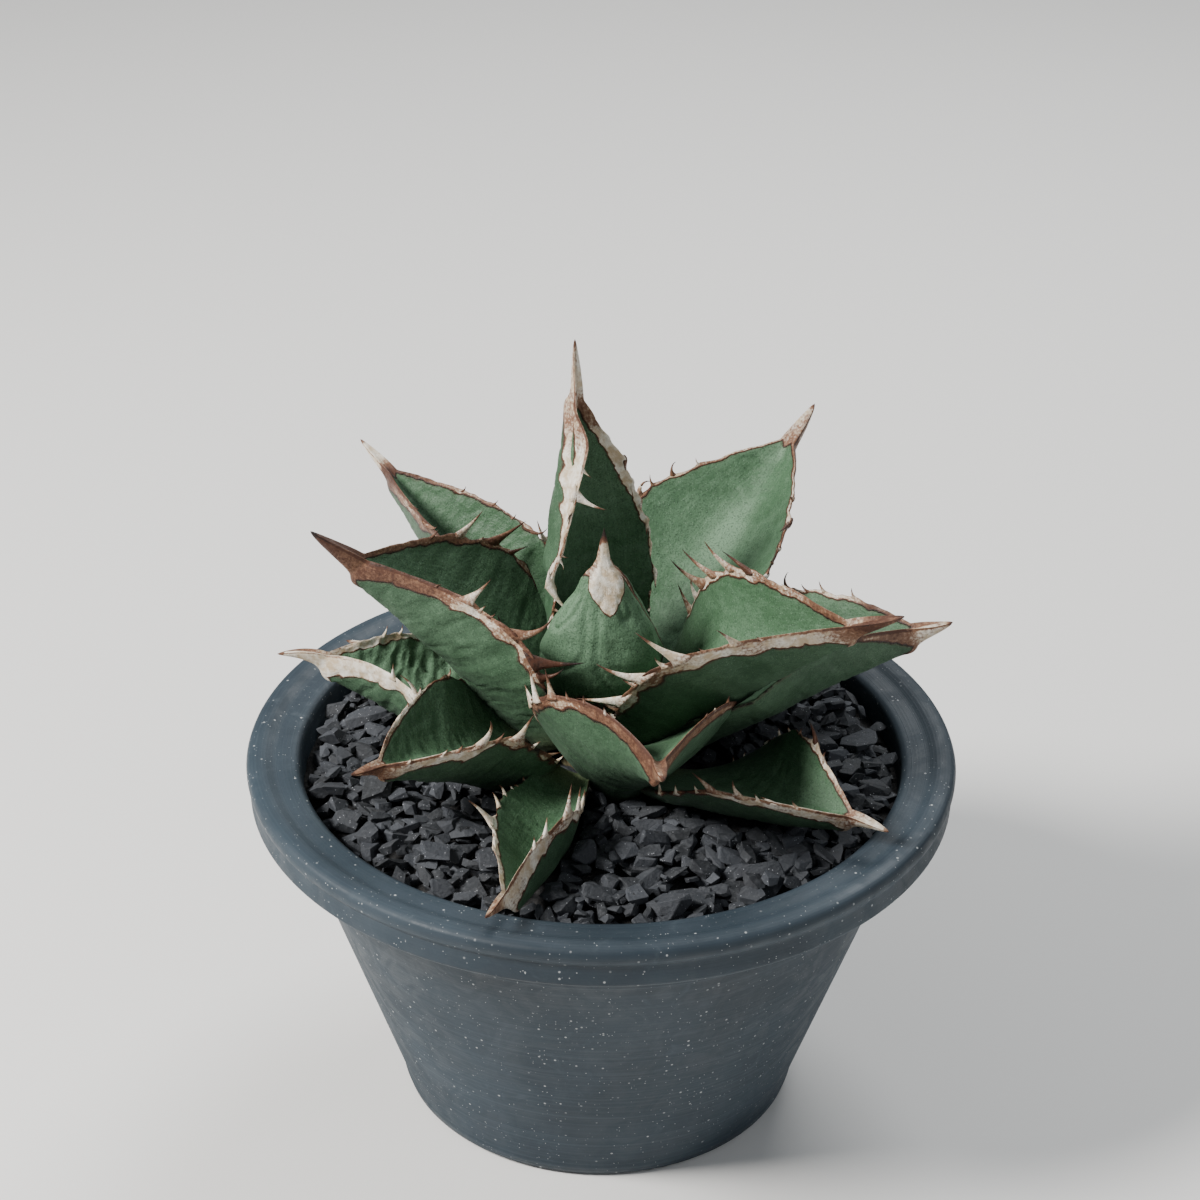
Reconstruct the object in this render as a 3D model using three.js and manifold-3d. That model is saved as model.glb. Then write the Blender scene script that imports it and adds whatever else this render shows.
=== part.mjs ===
// Potted agave: a compact toothed agave growing in a round, wide-rimmed dark pot dressed with
// crushed stone. Millimetres, +Z up. The origin is the centre of the pot's foot, on the surface
// it stands on; -Y is the front and azimuths turn anticlockwise from +X, seen from above.
import * as THREE from 'three';
import { mergeVertices } from 'three/addons/utils/BufferGeometryUtils.js';
import Module from 'manifold-3d';

const wasm = await Module();
wasm.setup();

// ---- pot ----
const rimRadius = 80;
const potHeight = 88;
const rimInset = 12.2; // outer edge of the rim to its mouth
const beadWidth = 5.6; // raised rounded edge of the rim
const beadRise = 0.9; // bead above the flat band
const lipDrop = 10; // height of the rim's outer face
const wall = 3.2;
const mouthDepth = 6; // straight part under the mouth
const footRadius = 46;
const footRingWidth = 8;
const footRecess = 1.6;
const floorThickness = 3.4;
const drainRadius = 7;

// ---- fillings ----
const clearance = 0.3; // kept between any two pieces
const screenRadius = 12;
const screenThickness = 1.2;
const headspace = 4; // rim's band down to the stones at the wall
const dressingThickness = 9;
const moundRise = 4.5; // stones higher near the plant than at the wall
const chipSize = 3.6;
const chipRings = [
  { inset: 6.5, count: 34, lean: 0.4, keepOff: 12 },
  { inset: 16.5, count: 26, lean: 0.7, keepOff: 17 },
]; // keepOff: degrees kept free each side of a leaf that lies low
const wateringAzimuth = 287; // no large chips here, where water is poured in

// ---- plant ----
const tipInset = 4.8; // longest leaf tips stop this far inside the rim
const crownRise = 4; // crown of the plant above the rim
const stemRadius = 10.5;
const stemAbove = 7; // stem above the crown level, hidden by the leaf bases
const stockDepth = 26;
const rootCount = 6;
const rootReach = 30;
const rootDrop = 24;
const rootRadius = 1.9;
const budHeight = 49.2;
const budHalfWidth = 12.8;
const budHalfDepth = 7.5;
const budLean = 11;
const marginThickness = 1.1;
const troughSoftness = 0.5;

// The plant is as wide as the pot lets it grow: its lengths follow the rim.
const plantReach = rimRadius - tipInset;
const grownReach = 75.2; // reach at which the leaf sizes below were written
const grown = plantReach / grownReach;

const mouthRadius = rimRadius - rimInset;
const bandLevel = potHeight - beadRise;
const dressingLevel = bandLevel - headspace;
const crownLevel = potHeight + crownRise;

// Leaves from the inside out. azimuth, rise, lift (change of rise along the blade), swing (change
// of azimuth), roll and twist are in degrees; blade, spine, half (half width), thick, stand (from
// the axis) and climb (above the crown) in millimetres. folds: trough half-angles at base, middle
// and tip. hook: turn of the end spine. teeth: [share of the blade, side, height].
const leaves = [
  { name: 'leaf_01', azimuth: 124, rise: 84, lift: 5, swing: 2, blade: 74, spine: 14, half: 17,
    thick: 5, stand: 6.5, climb: 3, folds: [33, 18, 41], roll: 1, twist: 4, hook: -5,
    teeth: [[0.72, 1, 4.5], [0.48, 1, 5], [0.78, -1, 3]] },
  { name: 'leaf_02', azimuth: 49, rise: 43, lift: -8, swing: 0, blade: 72, spine: 12, half: 25,
    thick: 8, stand: 9, climb: 2, folds: [25, 28, 21], roll: 1, twist: -1, hook: 2,
    teeth: [[0.72, -1, 4.5], [0.45, -1, 5], [0.72, 1, 3.5], [0.5, 1, 4.5]] },
  { name: 'leaf_03', azimuth: 144, rise: 45, lift: -14, swing: -8, blade: 69, spine: 12, half: 19,
    thick: 8, stand: 9.5, climb: 0, folds: [25, 55, 44], roll: 0, twist: 0, hook: -8,
    teeth: [[0.72, 1, 5], [0.5, 1, 5], [0.56, -1, 4], [0.4, -1, 5]] },
  { name: 'leaf_04', azimuth: 179, rise: 45, lift: -2, swing: 16, blade: 62, spine: 14, half: 26,
    thick: 8, stand: 8.5, climb: 1, folds: [20, 37, 44], roll: -2, twist: 3, hook: -5,
    teeth: [[0.72, 1, 7], [0.54, 1, 8], [0.4, 1, 5], [0.68, -1, 6.5], [0.54, -1, 6.5],
      [0.4, -1, 5]] },
  { name: 'leaf_05', azimuth: 327, rise: 49, lift: -19, swing: 3, blade: 68, spine: 14, half: 23,
    thick: 8, stand: 8, climb: 1, folds: [14, 42, 58], roll: 4, twist: 18, hook: -3,
    teeth: [[0.74, -1, 4.5], [0.6, -1, 8.5], [0.48, -1, 7.5], [0.38, -1, 6], [0.68, 1, 4.5],
      [0.52, 1, 5], [0.4, 1, 6.5]] },
  { name: 'leaf_06', azimuth: 287, rise: 43, lift: -26, swing: -11, blade: 51, spine: 10, half: 24,
    thick: 10, stand: 10.5, climb: -2, folds: [25, 26, 49], roll: -4, twist: -4, hook: 0,
    teeth: [[0.7, -1, 5], [0.3, -1, 5.5], [0.25, 1, 6], [0.7, 1, 3]] },
  { name: 'leaf_07', azimuth: 355, rise: 31, lift: -8, swing: -1, blade: 66, spine: 9, half: 24,
    thick: 8, stand: 9.5, climb: -1, folds: [25, 21, 52], roll: 0, twist: 0, hook: -3,
    teeth: [[0.8, 1, 2.5], [0.6, 1, 4], [0.7, -1, 3], [0.5, -1, 5]] },
  { name: 'leaf_08', azimuth: 92, rise: 28, lift: -14, swing: 3, blade: 55, spine: 11, half: 22,
    thick: 8, stand: 10, climb: -1, folds: [25, 34, 48], roll: 0, twist: 3, hook: -6,
    teeth: [[0.72, 1, 5], [0.5, 1, 5.5], [0.66, -1, 5], [0.45, -1, 6]] },
  { name: 'leaf_09', azimuth: 215, rise: 26, lift: -15, swing: 7, blade: 43, spine: 8, half: 18,
    thick: 8, stand: 18.5, climb: -2, folds: [21, 45, 39], roll: -3, twist: -7, hook: -6,
    teeth: [[0.48, -1, 4], [0.72, 1, 6], [0.52, 1, 5.5], [0.26, 1, 3]] },
  { name: 'leaf_10', azimuth: 22, rise: 17, lift: -10, swing: 4, blade: 52, spine: 10, half: 20,
    thick: 6.5, stand: 12, climb: -3, folds: [18, 28, 44], roll: 0, twist: -4, hook: -5,
    teeth: [[0.68, 1, 4], [0.66, -1, 4.5], [0.45, 1, 5]] },
  { name: 'leaf_11', azimuth: 179, rise: 16, lift: 10, swing: 0, blade: 53, spine: 11, half: 19,
    thick: 5.5, stand: 12.5, climb: -3, folds: [15, 18, 59], roll: 2, twist: 3, hook: -40,
    teeth: [[0.7, 1, 4.5], [0.88, 1, 5]] },
  { name: 'leaf_12', azimuth: 121, rise: 15, lift: -8, swing: -5, blade: 50, spine: 10, half: 18,
    thick: 6, stand: 12.5, climb: -3, folds: [16, 26, 46], roll: 0, twist: 3, hook: -8,
    teeth: [[0.7, 1, 4.5], [0.62, -1, 4.5], [0.45, 1, 4]] },
  { name: 'leaf_13', azimuth: 319, rise: 8, lift: -4, swing: 14, blade: 47, spine: 9, half: 19,
    thick: 5, stand: 19.5, climb: -3, folds: [-10, 28, 46], roll: -18, twist: 30, hook: -20,
    teeth: [[0.7, 1, 4], [0.62, -1, 5.5], [0.5, -1, 2.5]] },
  { name: 'leaf_14', azimuth: 255, rise: -15, lift: 30, swing: -4, blade: 50, spine: 12, half: 13.5,
    thick: 5.5, stand: 19, climb: -1, folds: [25, 46, 66], roll: 1, twist: 24, hook: -4,
    teeth: [[0.68, -1, 6], [0.74, 1, 4.5], [0.62, 1, 4.5]] },
  { name: 'leaf_15', azimuth: 68, rise: 7, lift: -3, swing: 6, blade: 48, spine: 9, half: 16,
    thick: 5, stand: 14, climb: -3, folds: [14, 24, 42], roll: 0, twist: 5, hook: -10,
    teeth: [[0.7, 1, 4], [0.6, -1, 4.5]] },
  { name: 'leaf_16', azimuth: 153, rise: 8, lift: -2, swing: -3, blade: 46, spine: 9, half: 14,
    thick: 5, stand: 14, climb: -3, folds: [14, 24, 42], roll: 0, twist: 3, hook: -12,
    teeth: [[0.7, 1, 3.5], [0.6, -1, 4]] },
];
const lowLeafRise = 20; // leaves that start flatter than this lie over the stones
const baseShare = 0.55; // blade's half width where it leaves the stem, share of the widest
const widestAt = 0.44;
const tipShare = 0.09;
const taperPower = 1.75;
const tipThickness = 3;
const bladeRows = 9;
const spineRows = 2;
const columns = 7;

// ---- helpers ----
const radians = THREE.MathUtils.degToRad;
const mix = THREE.MathUtils.lerp;

function manifoldOf(geometry) {
  const bare = geometry.clone();
  bare.deleteAttribute('normal');
  bare.deleteAttribute('uv');
  const welded = mergeVertices(bare, 1e-4);
  const mesh = new wasm.Mesh({
    numProp: 3,
    vertProperties: new Float32Array(welded.attributes.position.array),
    triVerts: new Uint32Array(welded.index.array),
  });
  return new wasm.Manifold(mesh);
}

function geometryOf(solid) {
  const mesh = solid.getMesh();
  const geometry = new THREE.BufferGeometry();
  geometry.setAttribute('position', new THREE.BufferAttribute(mesh.vertProperties, 3));
  geometry.setIndex(new THREE.BufferAttribute(mesh.triVerts, 1));
  const flat = geometry.toNonIndexed();
  flat.computeVertexNormals();
  return flat;
}

// A closed solid through a stack of rings with equal, even point counts, both ends capped.
function stackedSolid(rings) {
  const size = rings[0].length;
  const points = rings.flat();
  const faces = [];
  for (let row = 0; row < rings.length - 1; row += 1) {
    for (let i = 0; i < size; i += 1) {
      const next = (i + 1) % size;
      const a = row * size + i;
      const b = row * size + next;
      faces.push(a, b, b + size, a, b + size, a + size);
    }
  }
  const last = (rings.length - 1) * size;
  for (let i = 0; i < size / 2 - 1; i += 1) {
    const [a, b, c, d] = [i, i + 1, size - 2 - i, size - 1 - i];
    faces.push(c, b, a, d, c, a);
    faces.push(last + a, last + b, last + c, last + a, last + c, last + d);
  }
  const geometry = new THREE.BufferGeometry().setFromPoints(points);
  geometry.setIndex(faces);
  return geometry;
}

// Turns a closed outline of [radius, height] pairs about the Z axis.
function turned(outline, segments) {
  const profile = outline.map(([radius, height]) => new THREE.Vector2(radius, height));
  return new THREE.LatheGeometry(profile, segments).rotateX(Math.PI / 2);
}

// The leaf's half width along its blade, as a share of the widest.
function widthShare(t) {
  if (t < widestAt) {
    return mix(baseShare, 1, Math.sin((Math.PI / 2) * (t / widestAt)));
  }
  const rest = (t - widestAt) / (1 - widestAt);
  return mix(tipShare, 1, 1 - rest ** taperPower);
}

// How high the trough's cross-section stands at v, from 0 on the midrib to 1 at either margin.
function troughShare(v) {
  const soft = troughSoftness;
  return (Math.hypot(v, soft) - soft) / (Math.hypot(1, soft) - soft);
}

// The line that a leaf grows along, with a frame across it at each station.
function leafStations(leaf, grow) {
  const blade = leaf.blade * grown;
  const spine = leaf.spine * grown + grow * 2;
  const azimuth = radians(leaf.azimuth);
  const place = new THREE.Vector3(Math.cos(azimuth), Math.sin(azimuth), 0);
  place.multiplyScalar(leaf.stand * grown).setZ(crownLevel + leaf.climb * grown);
  const stations = [];
  let last = null;
  for (let row = 0; row <= bladeRows + spineRows; row += 1) {
    const onSpine = Math.max(0, row - bladeRows) / spineRows;
    const onBlade = Math.min(1, row / bladeRows);
    const along = onBlade * blade + onSpine * spine;
    const rise = radians(leaf.rise + leaf.lift * onBlade + leaf.hook * onSpine);
    const turn = radians(leaf.azimuth + leaf.swing * onBlade);
    const level = Math.cos(rise);
    const heading = new THREE.Vector3(
      level * Math.cos(turn), level * Math.sin(turn), Math.sin(rise));
    if (last) {
      const step = heading.clone().add(last.heading).normalize();
      place.addScaledVector(step, along - last.along);
    }
    const side = new THREE.Vector3(-Math.sin(turn), Math.cos(turn), 0);
    const roll = radians(leaf.roll + leaf.twist * onBlade);
    side.applyAxisAngle(heading, roll);
    const up = new THREE.Vector3().crossVectors(heading, side);
    last = { onBlade, onSpine, along, heading, side, up, point: place.clone() };
    stations.push(last);
  }
  stations[0].point.addScaledVector(stations[0].heading, -grow * 2);
  return stations;
}

function foldAt(leaf, station) {
  const [atBase, atMiddle, atTip] = leaf.folds;
  const t = station.onBlade * 2;
  const fold = t < 1 ? mix(atBase, atMiddle, t) : mix(atMiddle, atTip, t - 1);
  return radians(fold * (1 - station.onSpine));
}

function halfAt(leaf, station, grow) {
  const half = leaf.half * grown * widthShare(station.onBlade);
  return half * (1 - station.onSpine) ** 0.8 + 0.12 + grow;
}

// A point on the leaf's inner face; v runs from -1 to 1 across it.
function facePoint(leaf, station, v, grow) {
  const half = halfAt(leaf, station, grow);
  const fold = foldAt(leaf, station);
  return station.point.clone()
    .addScaledVector(station.side, half * v * Math.cos(fold))
    .addScaledVector(station.up, half * troughShare(v) * Math.sin(fold) + grow);
}

// One leaf with its end spine and larger teeth; grow swells it on every side.
function leafSolid(leaf, grow) {
  const stations = leafStations(leaf, grow);
  const rings = stations.map((station) => {
    const ring = [];
    const slim = halfAt(leaf, station, 0) * 2;
    for (let column = 0; column < columns; column += 1) {
      ring.push(facePoint(leaf, station, 1 - (column / (columns - 1)) * 2, grow));
    }
    for (let column = 0; column < columns; column += 1) {
      const v = (column / (columns - 1)) * 2 - 1;
      const body = mix(leaf.thick, tipThickness, station.onBlade) * (1 - Math.abs(v) ** 2.2);
      const flat = body * grown + marginThickness;
      const round = slim * (0.2 + 0.8 * Math.sqrt(1 - v * v));
      const depth = mix(flat, round, station.onSpine) + grow * 2;
      ring.push(facePoint(leaf, station, v, grow).addScaledVector(station.up, -depth));
    }
    return ring;
  });
  let solid = manifoldOf(stackedSolid(rings));
  leaf.teeth.forEach(([share, side, height]) => {
    solid = solid.add(toothSolid(leaf, stations, share, side, height * grown, grow));
  });
  return solid;
}

// A flat hooked thorn standing on a margin.
function toothSolid(leaf, stations, share, side, height, grow) {
  const row = Math.floor(share * bladeRows);
  const part = share * bladeRows - row;
  const near = facePoint(leaf, stations[row], side * 0.97, 0);
  const far = facePoint(leaf, stations[row + 1], side * 0.97, 0);
  const foot = near.lerp(far, part);
  const frame = stations[row];
  foot.addScaledVector(frame.up, -marginThickness * 0.6);
  const long = height * 0.32;
  const wide = marginThickness * 0.4;
  const levels = [[0, 1, 0], [1, 0.08, 0.14]];
  const rings = levels.map(([rise, size, bend]) => {
    const centre = foot.clone()
      .addScaledVector(frame.up, height * rise + grow * Math.sign(rise - 0.1))
      .addScaledVector(frame.side, side * height * 0.3 * rise)
      .addScaledVector(frame.heading, -height * bend * 2);
    const corners = [[-1, -1], [1, -1], [1, 1], [-1, 1]];
    return corners.map(([a, b]) => centre.clone()
      .addScaledVector(frame.heading, a * (long * size + grow))
      .addScaledVector(frame.side, b * (wide * (0.4 + 0.6 * size) + grow)));
  });
  return manifoldOf(stackedSolid(rings));
}

// Keeps the main body after a cut that may shave off loose slivers.
function mainBody(solid) {
  const bodies = solid.decompose();
  return bodies.reduce((best, body) => (body.volume() > best.volume() ? body : best));
}

function roundRing(centre, radiusX, radiusY, count) {
  const ring = [];
  for (let i = 0; i < count; i += 1) {
    const turn = (i / count) * Math.PI * 2;
    ring.push(new THREE.Vector3(
      centre.x + radiusX * Math.cos(turn), centre.y + radiusY * Math.sin(turn), centre.z));
  }
  return ring;
}

// ---- pieces ----
function potSolid() {
  const top = potHeight;
  const beadInner = rimRadius - beadWidth;
  const lip = mouthRadius + wall;
  const innerFoot = footRadius - wall;
  const floor = footRecess + floorThickness;
  return manifoldOf(turned([
    [drainRadius, footRecess],
    [footRadius - footRingWidth - 1, footRecess],
    [footRadius - footRingWidth, 0],
    [footRadius - 1, 0],
    [footRadius, 1],
    [lip, top - lipDrop],
    [rimRadius - 1.6, top - lipDrop],
    [rimRadius - 0.6, top - lipDrop + 1],
    [rimRadius - 0.9, top - lipDrop * 0.4],
    [rimRadius, top - lipDrop * 0.3],
    [rimRadius, top - beadRise - 0.6],
    [rimRadius - beadWidth * 0.25, top - 0.15],
    [rimRadius - beadWidth * 0.6, top],
    [beadInner + 0.4, top - 0.3],
    [beadInner, top - beadRise - 0.5],
    [beadInner - 0.6, bandLevel],
    [mouthRadius + 0.8, bandLevel - 0.5],
    [mouthRadius, bandLevel - 1.1],
    [mouthRadius, bandLevel - mouthDepth],
    [innerFoot, floor],
    [drainRadius, floor],
    [drainRadius, footRecess],
  ], 48));
}

function screenSolid() {
  const geometry = new THREE.CylinderGeometry(screenRadius, screenRadius, screenThickness, 32);
  geometry.rotateX(Math.PI / 2);
  const bottom = footRecess + floorThickness + clearance;
  geometry.translate(0, 0, bottom + screenThickness / 2);
  return manifoldOf(geometry);
}

// The pot's inner radius at a height, less the clearance.
function fillRadius(height) {
  const floor = footRecess + floorThickness;
  const straight = bandLevel - mouthDepth;
  const share = Math.min(1, (height - floor) / (straight - floor));
  return mix(footRadius - wall, mouthRadius, share) - clearance;
}

// Where the mix ends and the stones begin: a low cone that follows the mound.
function bedHeight(radius) {
  const rise = moundRise * 0.5 * (1 - radius / mouthRadius);
  return dressingLevel - dressingThickness + rise;
}

function substrateSolid() {
  const floor = footRecess + floorThickness + clearance;
  const seat = floor + screenThickness + clearance;
  const top = dressingLevel - dressingThickness;
  const middle = (floor + top) / 2;
  const edge = fillRadius(top);
  return manifoldOf(turned([
    [0, seat],
    [screenRadius + clearance, seat],
    [screenRadius + clearance, floor],
    [fillRadius(floor), floor],
    [fillRadius(middle), middle],
    [edge, bedHeight(edge)],
    [0, bedHeight(0)],
  ], 36));
}

// Height of the stones at a place: a low mound with a broken surface.
function dressingHeight(radius, turn) {
  const share = radius / mouthRadius;
  const mound = moundRise * Math.max(0, 1 - share * share);
  const broken = Math.sin(turn * 7 + radius * 0.31) * Math.cos(turn * 5 - radius * 0.23);
  return dressingLevel + mound + 0.5 * broken;
}

function dressingSolid() {
  const segments = 36;
  const bands = 5;
  const edge = fillRadius(bedHeight(mouthRadius));
  const rings = [];
  const centreGap = 0.4;
  for (let band = 0; band <= bands; band += 1) {
    const radius = mix(centreGap, edge, band / bands);
    const middle = new THREE.Vector3(0, 0, bedHeight(radius) + clearance);
    rings.push(roundRing(middle, radius, radius, segments));
  }
  for (let band = bands; band >= 0; band -= 1) {
    const radius = mix(centreGap, fillRadius(dressingLevel), band / bands);
    const ring = roundRing(new THREE.Vector3(), radius, radius, segments);
    ring.forEach((p) => p.setZ(dressingHeight(radius, Math.atan2(p.y, p.x))));
    rings.push(ring);
  }
  return manifoldOf(stackedSolid(rings));
}

function rootSolid(index, grow) {
  const turn = ((index + 0.3) / rootCount) * Math.PI * 2;
  const out = new THREE.Vector3(Math.cos(turn), Math.sin(turn), 0);
  const start = crownLevel - stockDepth * 0.7;
  const rings = [];
  const rows = 4;
  for (let row = 0; row <= rows; row += 1) {
    const share = row / rows;
    const centre = out.clone().multiplyScalar(2 + rootReach * grown * share);
    centre.z = start - rootDrop * share ** 1.6 - grow * share;
    const radius = rootRadius * (1.15 - share * 0.85) + grow;
    const across = new THREE.Vector3(-out.y, out.x, 0);
    const lift = new THREE.Vector3(out.x * 0.6, out.y * 0.6, 0.8);
    const ring = [];
    for (let i = 0; i < 6; i += 1) {
      const angle = (i / 6) * Math.PI * 2;
      ring.push(centre.clone()
        .addScaledVector(across, radius * Math.cos(angle))
        .addScaledVector(lift, radius * Math.sin(angle)));
    }
    rings.push(ring);
  }
  return manifoldOf(stackedSolid(rings));
}

function stemSolid(grow) {
  const radius = stemRadius * grown;
  const profile = [
    [crownLevel - stockDepth - grow, 0.35],
    [crownLevel - stockDepth * 0.75, 0.72],
    [crownLevel - stockDepth * 0.4, 0.9],
    [crownLevel - stockDepth * 0.15, 1],
    [crownLevel + stemAbove * 0.6, 0.95],
    [crownLevel + stemAbove + grow, 0.55],
  ];
  const rings = profile.map(([height, share]) => roundRing(
    new THREE.Vector3(0, 0, height), radius * share + grow, radius * share + grow, 20));
  let solid = manifoldOf(stackedSolid(rings));
  for (let index = 0; index < rootCount; index += 1) {
    solid = solid.add(rootSolid(index, grow));
  }
  return solid;
}

function budSolid(grow) {
  const bottom = crownLevel + stemAbove + clearance;
  const profile = [
    [0, 0.58], [0.12, 0.84], [0.25, 0.98], [0.36, 1], [0.48, 0.88], [0.59, 0.65], [0.68, 0.47],
    [0.75, 0.34], [0.82, 0.2], [0.9, 0.1], [1, 0.01],
  ];
  const rings = profile.map(([share, size]) => {
    const lean = -budLean * grown * (0.5 + 0.5 * share);
    const height = bottom + budHeight * grown * share + (share - 0.5) * grow * 2;
    const halfWidth = budHalfWidth * grown * size + grow;
    const halfDepth = budHalfDepth * grown * size ** 0.8 + grow;
    return roundRing(new THREE.Vector3(0, lean, height), halfWidth, halfDepth, 16);
  });
  return manifoldOf(stackedSolid(rings));
}

// A crushed stone: a rough twenty-faced lump, flattened and turned its own way.
function chipSolid(index, size) {
  const geometry = new THREE.IcosahedronGeometry(1, 0);
  geometry.scale(1.15 + 0.25 * Math.sin(index * 2.3), 0.85 + 0.2 * Math.cos(index * 1.7), 0.62);
  geometry.rotateY(0.35 * Math.sin(index * 3.1));
  geometry.rotateZ(index * 2.4);
  geometry.scale(size, size, size);
  return geometry;
}

function chipSolids() {
  const low = leaves.filter((leaf) => leaf.rise < lowLeafRise || leaf.blade < 45);
  const kept = [...low.map((leaf) => leaf.azimuth), wateringAzimuth];
  const chips = [];
  chipRings.forEach(({ inset, count, lean, keepOff }) => {
    for (let i = 0; i < count; i += 1) {
      const degrees = ((i + lean) / count) * 360;
      const apart = (azimuth) => Math.abs(((degrees - azimuth + 540) % 360) - 180);
      if (kept.every((azimuth) => apart(azimuth) > keepOff)) {
        const radius = mouthRadius - inset;
        const turn = radians(degrees);
        const geometry = chipSolid(chips.length + 1, chipSize);
        const height = dressingHeight(radius, turn) + chipSize * 0.95 + clearance;
        geometry.translate(radius * Math.cos(turn), radius * Math.sin(turn), height);
        chips.push(manifoldOf(geometry));
      }
    }
  });
  return chips;
}

// ---- assembly ----
const finishes = {
  pot: { color: '#3c4650', roughness: 0.62, metalness: 0 },
  screen: { color: '#26282a', roughness: 0.7, metalness: 0 },
  soil: { color: '#3a2f27', roughness: 0.95, metalness: 0 },
  stone: { color: '#4b4d52', roughness: 0.85, metalness: 0 },
  stem: { color: '#8a8464', roughness: 0.8, metalness: 0 },
  leaf: { color: '#7f9a86', roughness: 0.6, metalness: 0 },
};

const root = new THREE.Group();
root.name = 'potted_agave';

function place(name, solid, finish) {
  const mesh = new THREE.Mesh(geometryOf(solid), new THREE.MeshStandardMaterial(finishes[finish]));
  mesh.name = name;
  mesh.material.name = finish;
  root.add(mesh);
}

const stem = stemSolid(0);
const swollenStem = stemSolid(clearance);
const bud = mainBody(budSolid(0).subtract(swollenStem));
let occupied = swollenStem.add(budSolid(clearance));
const grownLeaves = leaves.map((leaf) => {
  const solid = mainBody(leafSolid(leaf, 0).subtract(occupied));
  occupied = occupied.add(leafSolid(leaf, clearance));
  return { name: leaf.name, solid };
});

place('pot', potSolid(), 'pot');
place('drain_screen', screenSolid(), 'screen');
place('substrate', mainBody(substrateSolid().subtract(occupied)), 'soil');
place('dressing', mainBody(dressingSolid().subtract(occupied)), 'stone');
chipSolids().forEach((solid, index) => {
  const name = `chip_${String(index + 1).padStart(2, '0')}`;
  place(name, mainBody(solid.subtract(occupied)), 'stone');
});
place('stem', stem, 'stem');
place('bud', bud, 'leaf');
grownLeaves.forEach(({ name, solid }) => place(name, solid, 'leaf'));

export default root;
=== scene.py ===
import math
import random

import bmesh
import bpy
from mathutils import Matrix, Vector, noise
from mathutils.bvhtree import BVHTree


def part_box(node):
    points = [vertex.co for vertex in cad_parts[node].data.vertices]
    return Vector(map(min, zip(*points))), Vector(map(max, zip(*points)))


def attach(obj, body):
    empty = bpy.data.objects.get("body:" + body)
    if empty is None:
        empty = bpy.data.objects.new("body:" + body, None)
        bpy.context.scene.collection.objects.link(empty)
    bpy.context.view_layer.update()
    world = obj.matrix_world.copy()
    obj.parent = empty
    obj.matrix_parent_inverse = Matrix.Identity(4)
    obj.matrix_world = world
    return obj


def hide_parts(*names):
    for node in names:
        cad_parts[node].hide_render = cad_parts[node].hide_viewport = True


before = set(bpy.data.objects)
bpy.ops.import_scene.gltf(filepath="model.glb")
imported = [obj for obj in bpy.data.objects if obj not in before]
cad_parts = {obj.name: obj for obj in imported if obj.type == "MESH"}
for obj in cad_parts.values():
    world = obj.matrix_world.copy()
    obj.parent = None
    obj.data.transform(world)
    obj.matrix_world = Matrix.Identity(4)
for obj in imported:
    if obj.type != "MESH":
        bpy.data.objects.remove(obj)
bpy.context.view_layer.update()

mm = 0.001
clearance = 0.3 * mm  # gap between neighbouring pieces
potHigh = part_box("pot")[1]
rimRadius = potHigh[0]
potHeight = potHigh[2]
mouthRadius = rimRadius - 12.2 * mm
bandLevel = potHeight - 0.9 * mm
dressingLevel = bandLevel - 4 * mm
crownLevel = potHeight + 4 * mm
moundRise = 4.5 * mm


def mix(a, b, share):
    return a + (b - a) * share


def onCircle(radius, turn, z):
    return Vector((radius * math.cos(turn), radius * math.sin(turn), z))


def smooth(low, high, value):
    share = min(1.0, max(0.0, (value - low) / (high - low)))
    return share * share * (3 - 2 * share)


def finishPiece(bm, name, material, nodes, flat=False):
    for face in bm.faces:
        face.smooth = not flat
    mesh = bpy.data.meshes.new(name)
    bm.to_mesh(mesh)
    bm.free()
    mesh.materials.append(material)
    piece = bpy.data.objects.new(name, mesh)
    bpy.context.scene.collection.objects.link(piece)
    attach(piece, "root")
    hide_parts(*nodes)
    return piece


# a grid rolled into a tube: place(along, around) gives each point, along and around from 0 to 1
def addTube(bm, rows, columns, place, layers=None, closeBase=True):
    grid = bmesh.ops.create_grid(bm, x_segments=rows, y_segments=columns, size=1)
    verts = grid["verts"]
    for vert in verts:
        along = (vert.co.x + 1) / 2
        around = (vert.co.y + 1) / 2
        point, marks = place(along, around)
        vert.co = point
        for key, value in marks.items():
            vert[layers[key]] = value
    before = set(bm.verts) - set(verts)
    bmesh.ops.remove_doubles(bm, verts=verts, dist=1e-6)
    made = [vert for vert in bm.verts if vert not in before]
    if closeBase:
        rim = {edge for vert in made for edge in vert.link_edges if edge.is_boundary}
        bmesh.ops.holes_fill(bm, edges=list(rim), sides=0)
    faces = list({face for vert in made for face in vert.link_faces})
    bmesh.ops.recalc_face_normals(bm, faces=faces)
    return made


def newMaterial(name):
    material = bpy.data.materials.new(name)
    material.use_nodes = True
    tree = material.node_tree
    return material, tree, tree.links, tree.nodes["Principled BSDF"]


def addNode(tree, kind, **values):
    node = tree.nodes.new(kind)
    for key, value in values.items():
        if key in node.inputs:
            node.inputs[key].default_value = value
        else:
            setattr(node, key, value)
    return node


def addMath(tree, operation, first, second=None):
    node = tree.nodes.new("ShaderNodeMath")
    node.operation = operation
    for index, value in enumerate((first, second)):
        if value is None:
            continue
        if isinstance(value, (int, float)):
            node.inputs[index].default_value = value
        else:
            tree.links.new(value, node.inputs[index])
    return node.outputs[0]


def add(tree, first, second):
    return addMath(tree, "ADD", first, second)


def multiply(tree, first, second):
    return addMath(tree, "MULTIPLY", first, second)


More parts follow.
